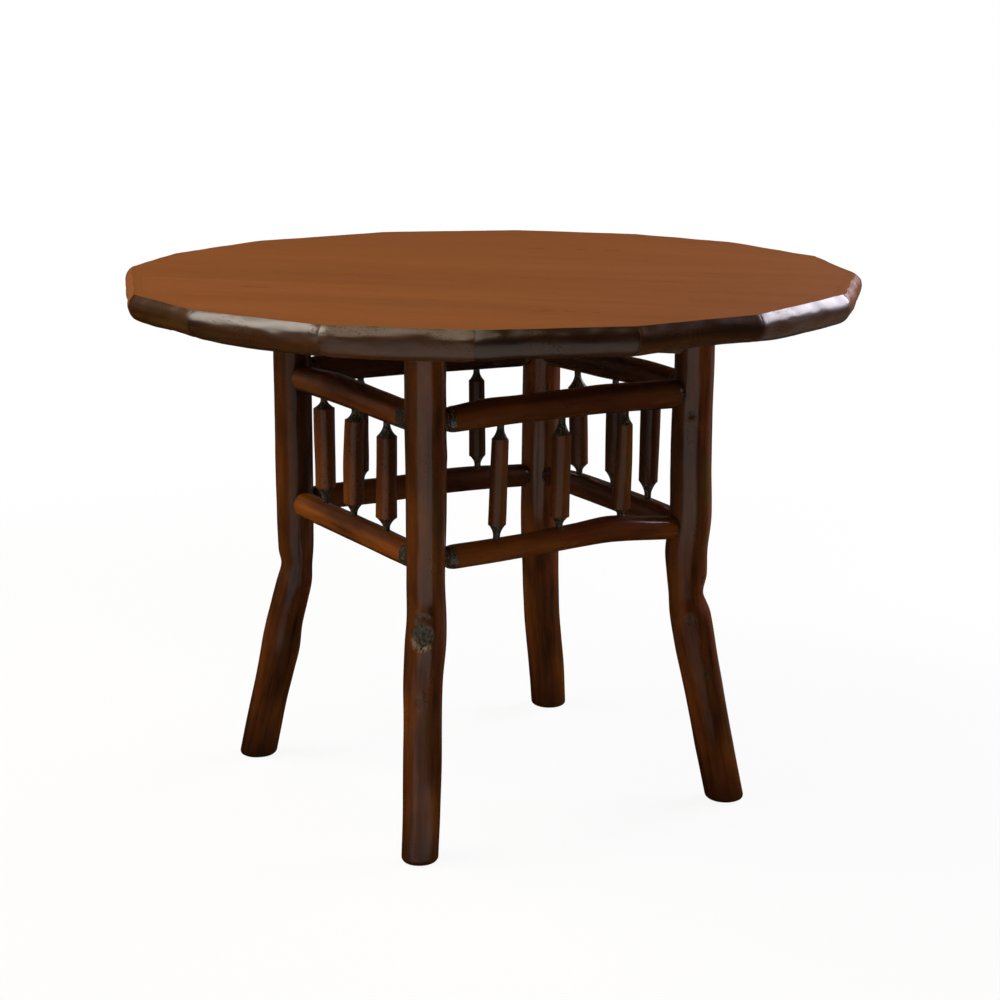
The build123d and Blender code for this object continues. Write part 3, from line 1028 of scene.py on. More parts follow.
@dataclass
class PoleLegs:
    """The four crooked legs, each one pole with a rounded foot.

    Attributes:
        foot_rings_deg: Where the rings on the rounding of a foot are.
        kinks: Between which heights the legs turn most, so that the rings lie closer there.
        band: Between which heights the painted light and shade and the varnish change.
        foot_tone: How light the pole is at the bottom of its foot.
        foot_fade: How much lighter the pole is above it.
        foot_height: How far up the dark foot reaches.
    """

    finish: bpy.types.Material
    legs: tuple[Leg, ...] = LEGS
    tenon_radius: float = 0.019
    tenon_length: float = 0.0233
    foot_rounding: float = 0.007
    foot_rings_deg: tuple[float, ...] = (0, 20, 38, 54, 68, 80)
    kinks: tuple[float, float] = (0.25, 0.35)
    band: tuple[float, float] = (0.33, 0.45)
    foot_tone: float = 0.40
    foot_fade: float = 0.64
    foot_height: float = 0.09
    sharp_deg: float = 50

    def build(self) -> None:
        """Makes all four legs."""
        for number, leg in enumerate(self.legs):
            self._leg(leg, 10.0 + 3 * number)

    def _leg(self, leg: Leg, seed: float) -> None:
        """Makes one leg.

        Args:
            leg: The leg.
            seed: Which unevenness it has.
        """
        top, rounding = BATTEN_UNDERSIDE, self.foot_rounding
        foot = [rounding * (1 - math.cos(math.radians(turn))) for turn in self.foot_rings_deg]
        low, high = self.kinks
        shank = spread((rounding, low, 0.004), (low, high, 0.002), (high, top, 0.004))
        places = np.concatenate([foot, shank])
        rows = (*leg.stations, (top / MM, *leg.stations[-1][1:]))
        values = smooth_values(rows, places / MM)
        corner = np.array(leg.corner)
        out = corner / math.sqrt(2)
        sideways = np.array([-out[1], out[0]])
        plan = corner * POST_HALF_SPAN + (values[:, :1] * out + values[:, 1:2] * sideways) * MM
        hearts = np.concatenate([plan, places[:, None]], 1)
        skin = PoleSkin(
            places, hearts, values[:, 2] * MM, Vector((1, 0, 0)), Vector((0, 1, 0)), leg.around, seed
        )
        rise = np.clip(places / rounding, 0.0, 1.0)
        inset = rounding * (1 - np.sqrt(1 - (1 - rise) ** 2))
        radii = skin.grown(leg.knots) - inset[:, None]
        tips = np.array([top, top + self.tenon_length - TIP, top + self.tenon_length])
        sizes = self.tenon_radius - np.array([0.0, 0.0, TIP])
        stretches = (
            skin.stretch(radii, **self._masks(leg, skin)), skin.tenon(tips, sizes, -1, axis=2)
        )
        build_pole(f"leg_{leg.word}", stretches, self.finish, Slot.POLE, self.sharp_deg)

    def _masks(self, leg: Leg, skin: PoleSkin) -> dict[str, np.ndarray]:
        """The scars, the stain with its painted light and shade, and the varnish of one leg.

        Args:
            leg: The leg.
            skin: Its surface, with the knots grown.

        Returns:
            Values by attribute name.
        """
        above = eased(skin.places, *self.band)[:, None]
        # Painted light and shade on each leg's left and right, above and below the band.
        upper, lower = (painted_light_round(*leg.tones[at : at + 2], skin.angles) for at in (0, 2))
        # The legs grow darker towards the bottom.
        foot = self.foot_tone + self.foot_fade * eased(skin.places, 0.0, self.foot_height)
        tone = (upper * above + lower * (1 - above)) * foot[:, None] * skin.mottled_with_painted_highlight()
        gloss = leg.glosses[0] * above + leg.glosses[1] * (1 - above)
        return {SCAR: skin.scar, TONE_AND_PAINTED_LIGHT: tone, GLOSS: np.repeat(gloss, leg.around, 1)}


@dataclass(frozen=True)
class Rung:
    """One rung as it grew.

    Attributes:
        level: Which ring of rungs it belongs to.
        side: The side of the base that it is on.
        bark_ends: How far the bark goes towards each leg, in mm.
        tones: How light the rung is painted on top, at the sides and underneath: painted
        shade, such as the top's shadow on the upper rungs, and painted light on the sides.
        stations: Place along the side, height of its heart and thickness, in mm.
    """

    level: str
    side: Side
    bark_ends: tuple[float, float]
    tones: tuple[float, float, float]
    stations: Stations

    def heart(self, place: float) -> tuple[float, float]:
        """The height of the heart and the radius at a place along the side, in metres."""
        height, thickness = smooth_values(self.stations, np.array([place / MM]))[0]
        return height * MM, thickness * MM / 2


RUNGS = (
    Rung(
        "upper", Side.FRONT, (178.0, 182.0), (0.40, 0.78, 0.72),
        (
            (-171, 601, 36.5), (-120, 604.5, 40.2), (-75, 605, 38.8),
            (5, 606, 39.4), (60, 607, 41.2), (171, 604, 42),
        ),
    ),
    Rung(
        "upper", Side.RIGHT, (174.0, 178.0), (0.35, 0.50, 0.40),
        ((-171, 609.5, 39), (-74, 610, 39.8), (30, 605, 38.2), (171, 599.5, 35.8)),
    ),
    Rung(
        "upper", Side.BACK, (179.0, 175.0), (0.25, 0.28, 0.25),
        ((-171, 604.5, 39.6), (-99, 602.5, 38.6), (-20, 601, 37), (85, 598.5, 36.6), (171, 596, 36)),
    ),
    Rung(
        "upper", Side.LEFT, (158.0, 181.0), (0.55, 1.70, 0.40),
        ((-171, 600, 39.6), (-60, 601, 40.4), (10, 602, 42.2), (80, 602, 43.2), (171, 598, 39.4)),
    ),
    Rung(
        "lower", Side.FRONT, (177.0, 181.0), (1.05, 1.20, 1.02),
        (
            (-171, 410, 34.6), (-110, 411, 34.3), (-50, 413, 34),
            (20, 416.5, 35.2), (80, 419, 38.2), (171, 409.5, 34),
        ),
    ),
    Rung(
        "lower", Side.RIGHT, (179.0, 176.0), (0.60, 0.75, 0.60),
        ((-171, 405.5, 38), (-60, 407, 38.6), (90, 407.5, 38), (171, 405, 33.6)),
    ),
    Rung(
        "lower", Side.BACK, (177.0, 181.0), (0.45, 0.50, 0.50),
        ((-171, 407.5, 37.6), (-100, 407, 39.2), (-27, 407.5, 37.8), (60, 409, 38.4), (171, 404, 36)),
    ),
    Rung(
        "lower", Side.LEFT, (160.0, 181.0), (1.15, 1.95, 0.72),
        ((-171, 407, 36), (-60, 407.5, 36.8), (60, 407, 37.6), (130, 407, 38.2), (171, 407, 39)),
    ),
)


@dataclass
class RungRings:
    """The two rings of rungs, each rung a pole whose ends are turned to fit the legs.

    Attributes:
        shaving: How deep the lathe cuts below the plain surface.
        raggedness: How far the bark's end strays from a true circle.
    """

    finish: bpy.types.Material
    rungs: tuple[Rung, ...] = RUNGS
    body_half_length: float = 0.171
    shoulder_length: float = 0.015
    shoulder_share: float = 0.78
    seat_length: float = 0.009
    tenon_radius: float = 0.009
    tenon_end: float = 0.0115
    shaving: float = 0.00035
    raggedness: float = 0.0009
    around: int = 56
    sharp_deg: float = 40

    def rung(self, level: str, side: Side) -> Rung:
        """The rung on a side."""
        return next(rung for rung in self.rungs if (rung.level, rung.side) == (level, side))

    def build(self) -> None:
        """Makes all eight rungs."""
        for index, rung in enumerate(self.rungs):
            ring, number = divmod(index, len(Side))
            self._rung(rung, 40.0 + 20 * ring + 4 * number)

    def _rung(self, rung: Rung, seed: float) -> None:
        """Makes one rung.

        Args:
            rung: The rung.
            seed: Which unevenness it has.
        """
        body = self.body_half_length
        shoulder_end = body + self.shoulder_length
        seat_end = shoulder_end + self.seat_length
        half_runs = [
            spread(
                (0.0, bark_end * MM - 0.002, 0.004),
                (bark_end * MM - 0.002, bark_end * MM + 0.002, 0.0005),
                (bark_end * MM + 0.002, shoulder_end, 0.001),
                (shoulder_end, seat_end, 0.004),
            )
            for bark_end in rung.bark_ends
        ]
        places = np.unique(np.concatenate([-half_runs[0], half_runs[1]]))
        values = smooth_values(rung.stations, np.clip(places, -body, body) / MM)
        hearts = np.stack([places, np.zeros(len(places)), values[:, 0] * MM], -1)
        plain = values[:, 1] * MM / 2
        skin = PoleSkin(places, hearts, plain, Vector((0, 1, 0)), Vector((0, 0, 1)), self.around, seed)
        past = np.clip((np.abs(places) - body) / self.shoulder_length, 0, 1)
        narrowing = 1 - (1 - self.shoulder_share) * (1 - np.sqrt(1 - past**2.2))
        bark = skin.grown() * narrowing[:, None]
        cut = np.repeat((plain * narrowing - self.shaving)[:, None], self.around, 1)
        # The bark's ragged end strays by the place on a circle, another one for each end.
        rim = skin.straightened(np.full(bark.shape, 0.02)) * np.array([1, 1, 0])
        rim = rim + np.sign(places)[:, None, None] * np.array([0, 0, 0.5])
        ends = np.where(places < 0, *rung.bark_ends) * MM
        edge = ends[:, None] + self.raggedness * wander(rim, 0.012, seed + 5)
        turned = eased(np.abs(places)[:, None] - edge, -0.0003, 0.0003)
        radii = np.maximum(bark, cut) * (1 - turned) + cut * turned
        # Painted light and shade round the rung: its top, sides and underside lighter or darker as
        # light falls on them.
        top_painted_light, side_painted_light, under_painted_light = rung.tones
        rise = np.sin(skin.angles)[None]
        tone = side_painted_light + (top_painted_light - side_painted_light) * eased(rise, 0.3, 0.7)
        tone = tone + (under_painted_light - side_painted_light) * eased(-rise, 0.3, 0.8)
        shank = skin.stretch(radii, **{TURNED: turned, TONE_AND_PAINTED_LIGHT: tone * skin.mottled_with_painted_highlight()})
        tenon_end = POST_HALF_SPAN - self.tenon_end
        tips = np.array([seat_end, tenon_end - TIP, tenon_end])
        sizes = np.array([1.0, 1.0, 0.9]) * self.tenon_radius
        left = skin.tenon(-tips[::-1], sizes[::-1], 0, axis=0)
        right = skin.tenon(tips, sizes, -1, axis=0)
        name = f"rung_{rung.level}_{rung.side.word}"
        stretches = (left, shank, right)
        build_pole(name, stretches, self.finish, Slot.POLE, self.sharp_deg, rung.side)


@dataclass(frozen=True)
class SpindleRow:
    """The spindles of one side.

    Attributes:
        side: The side.
        tones: How light they are painted to the left and to the right: painted light and shade from the
            sides.
        shapes: Each spindle's place, height and thickness at the foot and then at the head
            of its bark, and how far its middle bows along the side, in mm.
    """

    side: Side
    tones: tuple[float, float]
    shapes: Stations


SPINDLE_ROWS = (
    SpindleRow(
        Side.FRONT, (0.78, 1.40),
        (
            (-108, 447, 24.8, -100, 566.5, 24, 0),
            (-7.5, 447.5, 28, -3, 563.5, 27, 0),
            (92.5, 447, 27.6, 100.5, 568.5, 23, 1),
        ),
    ),
    SpindleRow(
        Side.RIGHT, (0.5, 0.6),
        (
            (-97.5, 451, 29, -104, 572, 31, 0),
            (-2.5, 448, 27, -6, 562, 27, 1),
            (96, 440, 28, 105, 560, 30.5, 0),
        ),
    ),
    SpindleRow(
        Side.BACK, (0.42, 0.5),
        (
            (-103.5, 441, 23.5, -102.5, 571, 23.5, 0),
            (-1.5, 444, 27.6, 1, 563, 26, 0),
            (99, 444, 26, 97, 563, 25, 0),
        ),
    ),
    SpindleRow(
        Side.LEFT, (1.35, 0.70),
        (
            (-89.5, 444, 30.4, -95, 560, 29, 0),
            (14, 444.5, 30.2, 4.5, 565.5, 29, 4),
            (106, 449, 31, 108.5, 566, 32, 0),
        ),
    ),
)


@dataclass
class Spindles:
    """The turned spindles between the two rings of rungs.

    Attributes:
        neck_share: How thick a neck starts, as a share of the pole there.
        neck_end: Where the neck has come down to the tenon, as a share of its length.
        neck_hollow: How hollow the neck is.
        slant: How far the bark's end slants round the pole.
    """

    finish: bpy.types.Material
    rungs: RungRings
    rows: tuple[SpindleRow, ...] = SPINDLE_ROWS
    tenon_radius: float = 0.005
    tenon_depth: float = 0.010
    neck_share: float = 0.94
    neck_end: float = 0.8
    neck_hollow: float = 1.75
    slant: float = 0.0006
    around: int = 44
    sharp_deg: float = 40

    def build(self) -> None:
        """Makes all twelve spindles."""
        for index, row in enumerate(self.rows):
            for number, shape in enumerate(row.shapes, start=1):
                self._spindle(row, number, shape, 90.0 + 12 * index + 4 * number)

    def _spindle(self, row: SpindleRow, number: int, shape: Sequence[float], seed: float) -> None:
        """Makes one spindle.

        Args:
            row: The side's spindles.
            number: Which of them it is, from 1.
            shape: Its row of shapes.
            seed: Which unevenness it has.
        """
        foot_place, foot_height, foot_thick, head_place, head_height, head_thick, bow = (
            value * MM for value in shape
        )
        foot_heart, foot_rung = self.rungs.rung("lower", row.side).heart(foot_place)
        head_heart, head_rung = self.rungs.rung("upper", row.side).heart(head_place)
        low = np.array([foot_place, 0.0, foot_heart])
        high = np.array([head_place, 0.0, head_heart])
        length = np.linalg.norm(high - low)
        axis = (high - low) / length
        # Distances along the axis from the lower rung's heart.
        bark_start = foot_height - foot_heart
        bark_end = length - (head_heart - head_height)
        start = foot_rung - self.tenon_depth
        end = length - head_rung + self.tenon_depth
        places = spread(
            (start, foot_rung, 0.005),
            (foot_rung, bark_start - 0.002, 0.0011),
            (bark_start - 0.002, bark_start + 0.002, 0.0004),
            (bark_start + 0.002, bark_end - 0.002, 0.004),
            (bark_end - 0.002, bark_end + 0.002, 0.0004),
            (bark_end + 0.002, end - self.tenon_depth, 0.0011),
            (end - self.tenon_depth, end, 0.005),
        )
        share = np.clip((places - bark_start) / (bark_end - bark_start), 0.0, 1.0)
        plain = (foot_thick * (1 - share) + head_thick * share) / 2
        hearts = low + places[:, None] * axis
        hearts[:, 0] += bow * 4 * share * (1 - share)
        across = Vector((axis[2], 0.0, -axis[0]))
        skin = PoleSkin(places, hearts, plain, across, Vector((0, 1, 0)), self.around, seed, 0.8)
        bark = skin.grown()
        cut = np.zeros(len(places))
        turned = np.zeros(bark.shape)
        lean = self.slant * np.cos(skin.angles + seed)
        for edge, root, sign in ((bark_start, foot_rung, -1), (bark_end, end - self.tenon_depth, 1)):
            beyond = (places - edge) * sign
            past = np.clip(beyond / abs(root - edge), 0.0, 1.0)
            flare = np.clip(1 - past / self.neck_end, 0.0, 1.0) ** self.neck_hollow
            neck = self.tenon_radius + (plain * self.neck_share - self.tenon_radius) * flare
            cut = np.where(beyond > -0.003, neck, cut)
            turned = turned + eased(beyond[:, None] + lean, -0.0002, 0.0002)
        cut = cut[:, None]
        radii = np.maximum(bark, cut) * (1 - turned) + cut * turned
        # Painted light and shade from the spindle's left to its right, times the stain's mottling.
        tone = painted_light_round(*row.tones, skin.angles, row.side.turn_deg) * skin.mottled_with_painted_highlight()
        stretches = (skin.stretch(radii, **{TURNED: turned, TONE_AND_PAINTED_LIGHT: tone}),)
        name = f"spindle_{row.side.word}_{number}"
        build_pole(name, stretches, self.finish, Slot.SPINDLE, self.sharp_deg, row.side)


# ---- top -----------------------------------------------------------------------------------
TABLE_HEIGHT = 0.762
BOARD_DIRECTION_DEG = -45.0


@dataclass
class TopPanel:
    """The glued-up boards, each with its own piece of the same wood's grain.

    Attributes:
        tones: How light each board is.
        marks: Dark dashes in the boards, by board: the place along the grain and across it
            from the table's centre, the half length and the half width, in mm.
    """

    tones: tuple[float, ...] = (1.02, 1.0, 1.015, 0.99, 1.0, 1.02, 0.99, 1.01, 0.985)
    marks: dict[int, Stations] = field(
        default_factory=lambda: {
            2: ((172, -322, 14, 2.2), (200, -325, 16, 2.2), (236, -327, 12, 2.4), (168, -335, 18, 2.0)),
            3: ((-270, -229, 30, 2.2), (-1, -281, 9, 1.6), (60, -262, 12, 1.2)),
            5: ((-60, 20, 16, 1.4), (150, -28, 12, 1.2)),
            8: ((0, 289, 34, 3.0), (62, 296, 18, 3.0), (112, 300, 15, 3.4)),
        }
    )

    def build(self) -> None:
        """Dresses the boards."""
        for number, tone in enumerate(self.tones, start=1):
            finish = PlanedWood(
                f"planed_board_{number}",
                tone,
                13.0 * number,
                BOARD_DIRECTION_DEG,
                marks=self.marks.get(number, ()),
            )
            dress_node(f"top_board_{number}", finish.material())


@dataclass
class SplitPoleEdging:
    """Sixteen split poles round the top, mitred where they meet and planed flush.

    Attributes:
        strays: How many degrees each corner strays from even sixteenths.
        corner_radii: The poles' radius where two pieces meet, in mm.
        middle_radii: The radius of each piece's pole at its third points, in mm.
        easing: How far the crest of each corner's mitre is rounded over, in mm along a piece.
        groove: How deep the line at a mitre is, and fine_groove where it is rubbed away,
            which it is where the easing is worn_easing or more.
        crest_deg: Where above level the bark ends, about.
        bottom_deg: How far below level it starts.
        worn: How much of a piece's stain is rubbed down to the boards' brown.
        tones: How light each piece's bark is at its two ends, 1 being ordinary.
        painted_glint_joints: The corners whose mitre shows a painted glint, a pale line
        painted_glint_width wide on each piece, painted_glint_tone times as light.
        glosses: How thick the varnish is on a piece, 1 being ordinary.
        underside_painted_light: How much lighter the bark is painted on the underside, as painted light
            from the floor below.
        nubs: Small healed twigs: piece, share of its length, angle above level, and the
            half length, half width and rise, in mm.
    """

    bark: bpy.types.Material
    planed: bpy.types.Material
    facets: int = 16
    first_corner_deg: float = 14.0
    panel_corner_radius: float = 0.514
    flat_width: float = 0.0143
    glue_line: float = 0.0001
    mitre_gap: float = 0.00005
    groove: float = 0.00014
    fine_groove: float = 0.00003
    worn_easing: float = 10
    crest_deg: float = 52
    bottom_deg: float = 89.6
    bark_steps: int = 34
    flat_steps: int = 4
    sharp_deg: float = 32
    easing: tuple[float, ...] = (8, 8, 8, 8, 8, 8, 9, 10, 13, 15, 14, 5, 7, 8, 8, 8)
    painted_glint_joints: tuple[int, ...] = (11,)
    painted_glint_width: float = 0.0006
    painted_glint_tone: float = 2.6
    glosses: dict[int, float] = field(default_factory=lambda: {7: 0.55, 11: 0.55})
    underside_painted_light: float = 0.75
    tones: tuple[tuple[float, float], ...] = (
        (1.0, 0.8), (0.9, 1.1), (1.0, 0.9), (1.1, 0.8), (0.7, 1.0), (1.2, 0.9),
        (1.0, 1.0), (0.75, 0.9), (0.8, 0.8), (0.9, 0.75), (0.55, 0.50), (0.75, 0.85),
        (1.0, 1.3), (1.2, 1.0), (0.9, 1.2), (0.8, 1.0),
    )
    worn: dict[int, float] = field(default_factory=lambda: {6: 1.0, 13: 1.0, 5: 0.6, 14: 0.5})
    strays: tuple[float, ...] = (0, -2, -3, -2, 1, -1, -5, 4, 0, 1, 0, 0, -2, 0, 1, 0)
    corner_radii: tuple[float, ...] = (
        22.8, 23.3, 22.4, 23.0, 23.6, 22.9, 23.2, 22.4,
        22.3, 23.9, 23.6, 22.9, 21.8, 23.9, 23.1, 22.6,
    )
    middle_radii: tuple[tuple[float, float], ...] = (
        (23.4, 22.3), (22.6, 23.8), (23.3, 22.1), (22.5, 23.7),
        (24.1, 22.9), (22.2, 23.1), (23.5, 22.6), (22.5, 21.8),
        (24.2, 24.1), (24.4, 24.4), (22.7, 22.8), (21.7, 21.2),
        (23.6, 23.8), (24.2, 23.3), (22.5, 23.6), (23.9, 23.2),
    )
    nubs: Stations = (
        (8, 0.965, 34, 7, 6, 1.5), (9, 0.13, 10, 4, 3, 0.9), (9, 0.66, 8, 4, 3, 0.9),
        (9, 0.93, 12, 5, 4, 1.4), (10, 0.16, 36, 4, 3, 1.0), (12, 0.30, 30, 6, 4, 1.0),
        (7, 0.55, 15, 6, 5, 1.1), (3, 0.4, 20, 6, 5, 1.3), (14, 0.6, 10, 7, 5, 1.4),
        (1, 0.25, 25, 5, 4, 1.1),
    )

    def corner(self, number: int) -> np.ndarray:
        """A corner of the board panel in plan.

        Args:
            number: Which corner.

        Returns:
            Its X and Y.
        """
        number %= self.facets
        turn = math.radians(
            self.first_corner_deg + 360.0 / self.facets * number + self.strays[number]
        )
        return self.panel_corner_radius * np.array([math.cos(turn), math.sin(turn)])

    def along(self, facet: int) -> np.ndarray:
        """The direction of one side of the panel in plan, anticlockwise."""
        edge = self.corner(facet + 1) - self.corner(facet)
        return edge / np.linalg.norm(edge)

    def outward(self, facet: int) -> np.ndarray:
        """The outward direction of one side of the panel in plan."""
        x, y = self.along(facet)
        return np.array([y, -x])

    def mitre_slope(self, facet: int, corner: int) -> float:
        """How far a mitre leans outwards beyond the piece's end for each metre out."""
        bisector = self.outward(corner - 1) + self.outward(corner)
        return float(bisector @ self.along(facet)) / float(bisector @ self.outward(facet))

    def build(self) -> None:
        """Makes all sixteen pieces."""
        for facet in range(self.facets):
            self._piece(facet)

    def _plain(self, facet: int, places: np.ndarray, length: float) -> np.ndarray:
        """The pole's radius in mm, and how deep its axis lies under the flat, by place.

        Args:
            facet: Which piece.
            places: Places along the piece.
            length: The length of its back.

        Returns:
            One row of the two for each place.
        """
        after = (facet + 1) % self.facets
        radii = (self.corner_radii[facet], *self.middle_radii[facet], self.corner_radii[after])
        rows = [
            (length * third / 3, radius, math.sqrt((radius * MM) ** 2 - self.flat_width**2))
            for third, radius in enumerate(radii)
        ]
        return smooth_values(rows, places)

    def _pole_radius(
        self, facet: int, places: np.ndarray, angles: np.ndarray, length: float
    ) -> np.ndarray:
        """The bark's radius by place along the piece and angle above level.

        Args:
            facet: Which piece.
            places: Places along the piece.
            angles: Angles above level.
            length: The length of the piece's back.

        Returns:
            Radii by place and angle.
        """
        plain = self._plain(facet, places, length)[:, :1] * MM
        unit = np.stack([np.cos(angles), np.sin(angles)], -1)
        flat = plain[..., None] * unit[None]
        height = np.broadcast_to(places[:, None, None], (*flat.shape[:2], 1))
        where = np.concatenate([flat, height], -1)
        seed = 150.0 + 5 * facet
        stretched = where * np.array([1.0, 1.0, 0.55])
        swell = 1.9 * wander(stretched, 0.032, seed) + 1.0 * wander(stretched, 0.014, seed + 1)
        swell = swell * (0.35 + 0.65 * eased(np.sin(angles), -0.75, -0.1)[None])
        swell = swell + 0.1 * wander(where * np.array([1, 1, 0.12]), 0.004, seed + 2) - 0.8
        radii = plain + swell * MM
        for piece, share, turn, half_length, half_width, rise in self.nubs:
            if piece == facet:
                sideways = (angles[None] - math.radians(turn)) * plain / (half_width * MM)
                lengthways = (places[:, None] - share * length) / (half_length * MM)
                away = sideways**2 + lengthways**2
                radii = radii + rise * MM * (np.exp(-away) - 0.7 * np.exp(-4 * away))
        for ends, corner in ((places, facet), (length - places, (facet + 1) % self.facets)):
            easing = self.easing[corner]
            reach = easing * MM
            inside = np.clip(reach - ends, 0.0, None) ** 2
            rounded = inside * math.tan(math.pi / self.facets) / (2 * reach)
            groove = self.fine_groove if easing >= self.worn_easing else self.groove
            radii = radii - (rounded + groove * (1 - eased(ends, 0.0, 0.001)))[:, None]
        return radii

    def _outline(
        self, facet: int, places: np.ndarray, length: float
    ) -> tuple[np.ndarray, np.ndarray, np.ndarray]:
        """The outline across one piece, from the bottom of its bark to the glued back.

        Args:
            facet: Which piece.
            places: Where the outlines are, along the piece.
            length: The length of the piece's back.

        Returns:
            How far out and how high the points are by place, and how steeply the surface
            rises at them.
        """
        depth = self._plain(facet, places, length)[:, 1]
        steep = np.array([math.radians(self.crest_deg)])
        rough = self._pole_radius(facet, places, steep, length)[:, 0]
        plain_depth = np.mean(np.sqrt(rough**2 - self.flat_width**2))
        low = -math.radians(self.bottom_deg)
        share = np.linspace(0.0, 1.0, self.bark_steps)
        top_angle = math.asin(min(0.99, plain_depth / float(np.mean(rough))))
        angles = low + (top_angle - low) * share
        radii = self._pole_radius(facet, places, angles, length)
        outs = radii * np.cos(angles)
        heights = TABLE_HEIGHT - depth[:, None] + radii * np.sin(angles)
        # The last bark point lies on the planed flat.
        spare = heights[:, -1] - TABLE_HEIGHT
        weight = eased(share, 0.8, 1.0)[None]
        outs = outs + weight * (spare * math.tan(top_angle))[:, None]
        heights = np.minimum(heights - weight * spare[:, None], TABLE_HEIGHT)
        flat = np.linspace(1.0, 0.0, self.flat_steps + 1)[1:]
        flat_outs = self.glue_line + (outs[:, -1:] - self.glue_line) * flat
        outs = np.maximum(np.concatenate([outs, flat_outs], 1), self.glue_line)
        heights = np.concatenate([heights, np.full(flat_outs.shape, TABLE_HEIGHT)], 1)
        return outs, heights, np.concatenate([np.sin(angles), np.ones(self.flat_steps)])

    def _piece(self, facet: int) -> None:
        """Makes one piece.

        Args:
            facet: Which piece.
        """
        start, along = self.corner(facet), self.along(facet)
        length = float(np.linalg.norm(self.corner(facet + 1) - start))
        places = spread(
            (0.0, 0.0012, 0.0004),
            (0.0012, 0.0152, 0.0014),
            (0.0152, length - 0.0152, 0.0035),
            (length - 0.0152, length - 0.0012, 0.0014),
            (length - 0.0012, length, 0.0004),
        )
        outs, heights, slopes = self._outline(facet, places, length)
        first = self.mitre_slope(facet, facet)
        last = self.mitre_slope(facet, facet + 1)
        t = (places / length)[:, None]
        gap = self.mitre_gap * (1 - 2 * t)
        stations = t * length + outs * (first * (1 - t) + last * t) + gap
        plan = start + stations[..., None] * along + outs[..., None] * self.outward(facet)
        rings = np.concatenate([plan, heights[..., None]], -1)
        seed = 5.0 * facet
        grain = np.stack([outs + seed, heights, stations + seed], -1)
        around = rings.shape[1]
        # The strip that closes the ring is the glued back.
        finish = [0] * (self.bark_steps - 1) + [1] * self.flat_steps + [1]
        # The rings' points run clockwise as seen from the last ring, so their order is turned.
        order = np.arange(around)[::-1]
        strips = [finish[(around - 2 - step) % around] for step in range(around)]
        tones = self.tones[facet]
        tone = np.repeat(tones[0] * (1 - t) + tones[1] * t, around, 1)
        # Painted light: the underside is made lighter, where the floor's light falls on it.
        tone = tone * (1 + self.underside_painted_light * eased(-slopes, 0.0, 0.35))[None]
        ends = {facet: places, facet + 1: length - places}
        # Painted glint: a pale line along the mitre of each glint joint.
        for joint in self.painted_glint_joints:
            if joint in ends:
                pale = np.where(ends[joint] < self.painted_glint_width, self.painted_glint_tone, 1.0)
                tone = tone * pale[:, None]
        worn = np.full(outs.shape, self.worn.get(facet, 0.0))
        gloss = np.full(outs.shape, self.glosses.get(facet, 1.0))
        name = f"top_edging_{facet + 1:02d}"
        masks = {WORN: worn, TONE_AND_PAINTED_LIGHT: tone[:, order], GLOSS: gloss}
        whole = Stretch(rings[:, order], grain[:, order], masks)
        made = whole.build(name, [self.bark, self.planed], self.sharp_deg, strips)
        place_piece(made, name, Slot.EDGE)


@dataclass
class Underside:
    """What holds the top together out of sight: battens, screws and brads."""

    batten_seeds: dict[str, float] = field(
        default_factory=lambda: {"batten_left": 3.0, "batten_middle": 19.0, "batten_right": 37.0}
    )

    def build(self) -> None:
        """Dresses the battens and fixings."""
        across_boards = BOARD_DIRECTION_DEG + 90.0
        for node, seed in self.batten_seeds.items():
            dress_node(node, SawnWood(f"sawn_{node}", across_boards, seed).material())
        dress_node("batten_screws", Steel("plated_screw_steel").material())
        bright = Steel("bright_brad_steel", (0.6, 0.6, 0.6), (0.35, 0.33, 0.3), 0.25)
        dress_node("edging_brads", bright.material())


# ---- studio --------------------------------------------------------------------------------
def towards(direction_deg: float, rise_deg: float) -> Vector:
    """The direction that lies so far round from +X and so far above level."""
    turn, rise = math.radians(direction_deg), math.radians(rise_deg)
    return Vector((math.cos(turn) * math.cos(rise), math.sin(turn) * math.cos(rise), math.sin(rise)))


@dataclass(frozen=True)
class FloorPaper(Finish):
    """White paper, with a faint shadow round the table."""

    name: str = "floor_paper"
    lit: Colour = (0.7, 0.7, 0.7)
    seen: Colour = (0.85, 0.85, 0.85)
    shadow: float = 0.09

    def paint(self, recipe: Recipe) -> None:
        """Mixes the finish.

        Args:
            recipe: The material's tree.
        """
        plainly = recipe.seen_plainly()
        near = recipe.length(recipe.own_place()).between(2.4, 0.9)
        paper = recipe.mix(plainly, self.lit, self.seen)
        matte = recipe.node("ShaderNodeBsdfDiffuse", {}, {"Color": paper})
        white = recipe.node("ShaderNodeEmission", {}, {"Color": (1, 1, 1), "Strength": 1.0})
        share = plainly * (1.0 - near * self.shadow)
        plain = recipe.node("ShaderNodeMixShader", {}, {0: share, 1: matte, 2: white})
        recipe.node("ShaderNodeOutputMaterial", {}, {"Surface": plain})


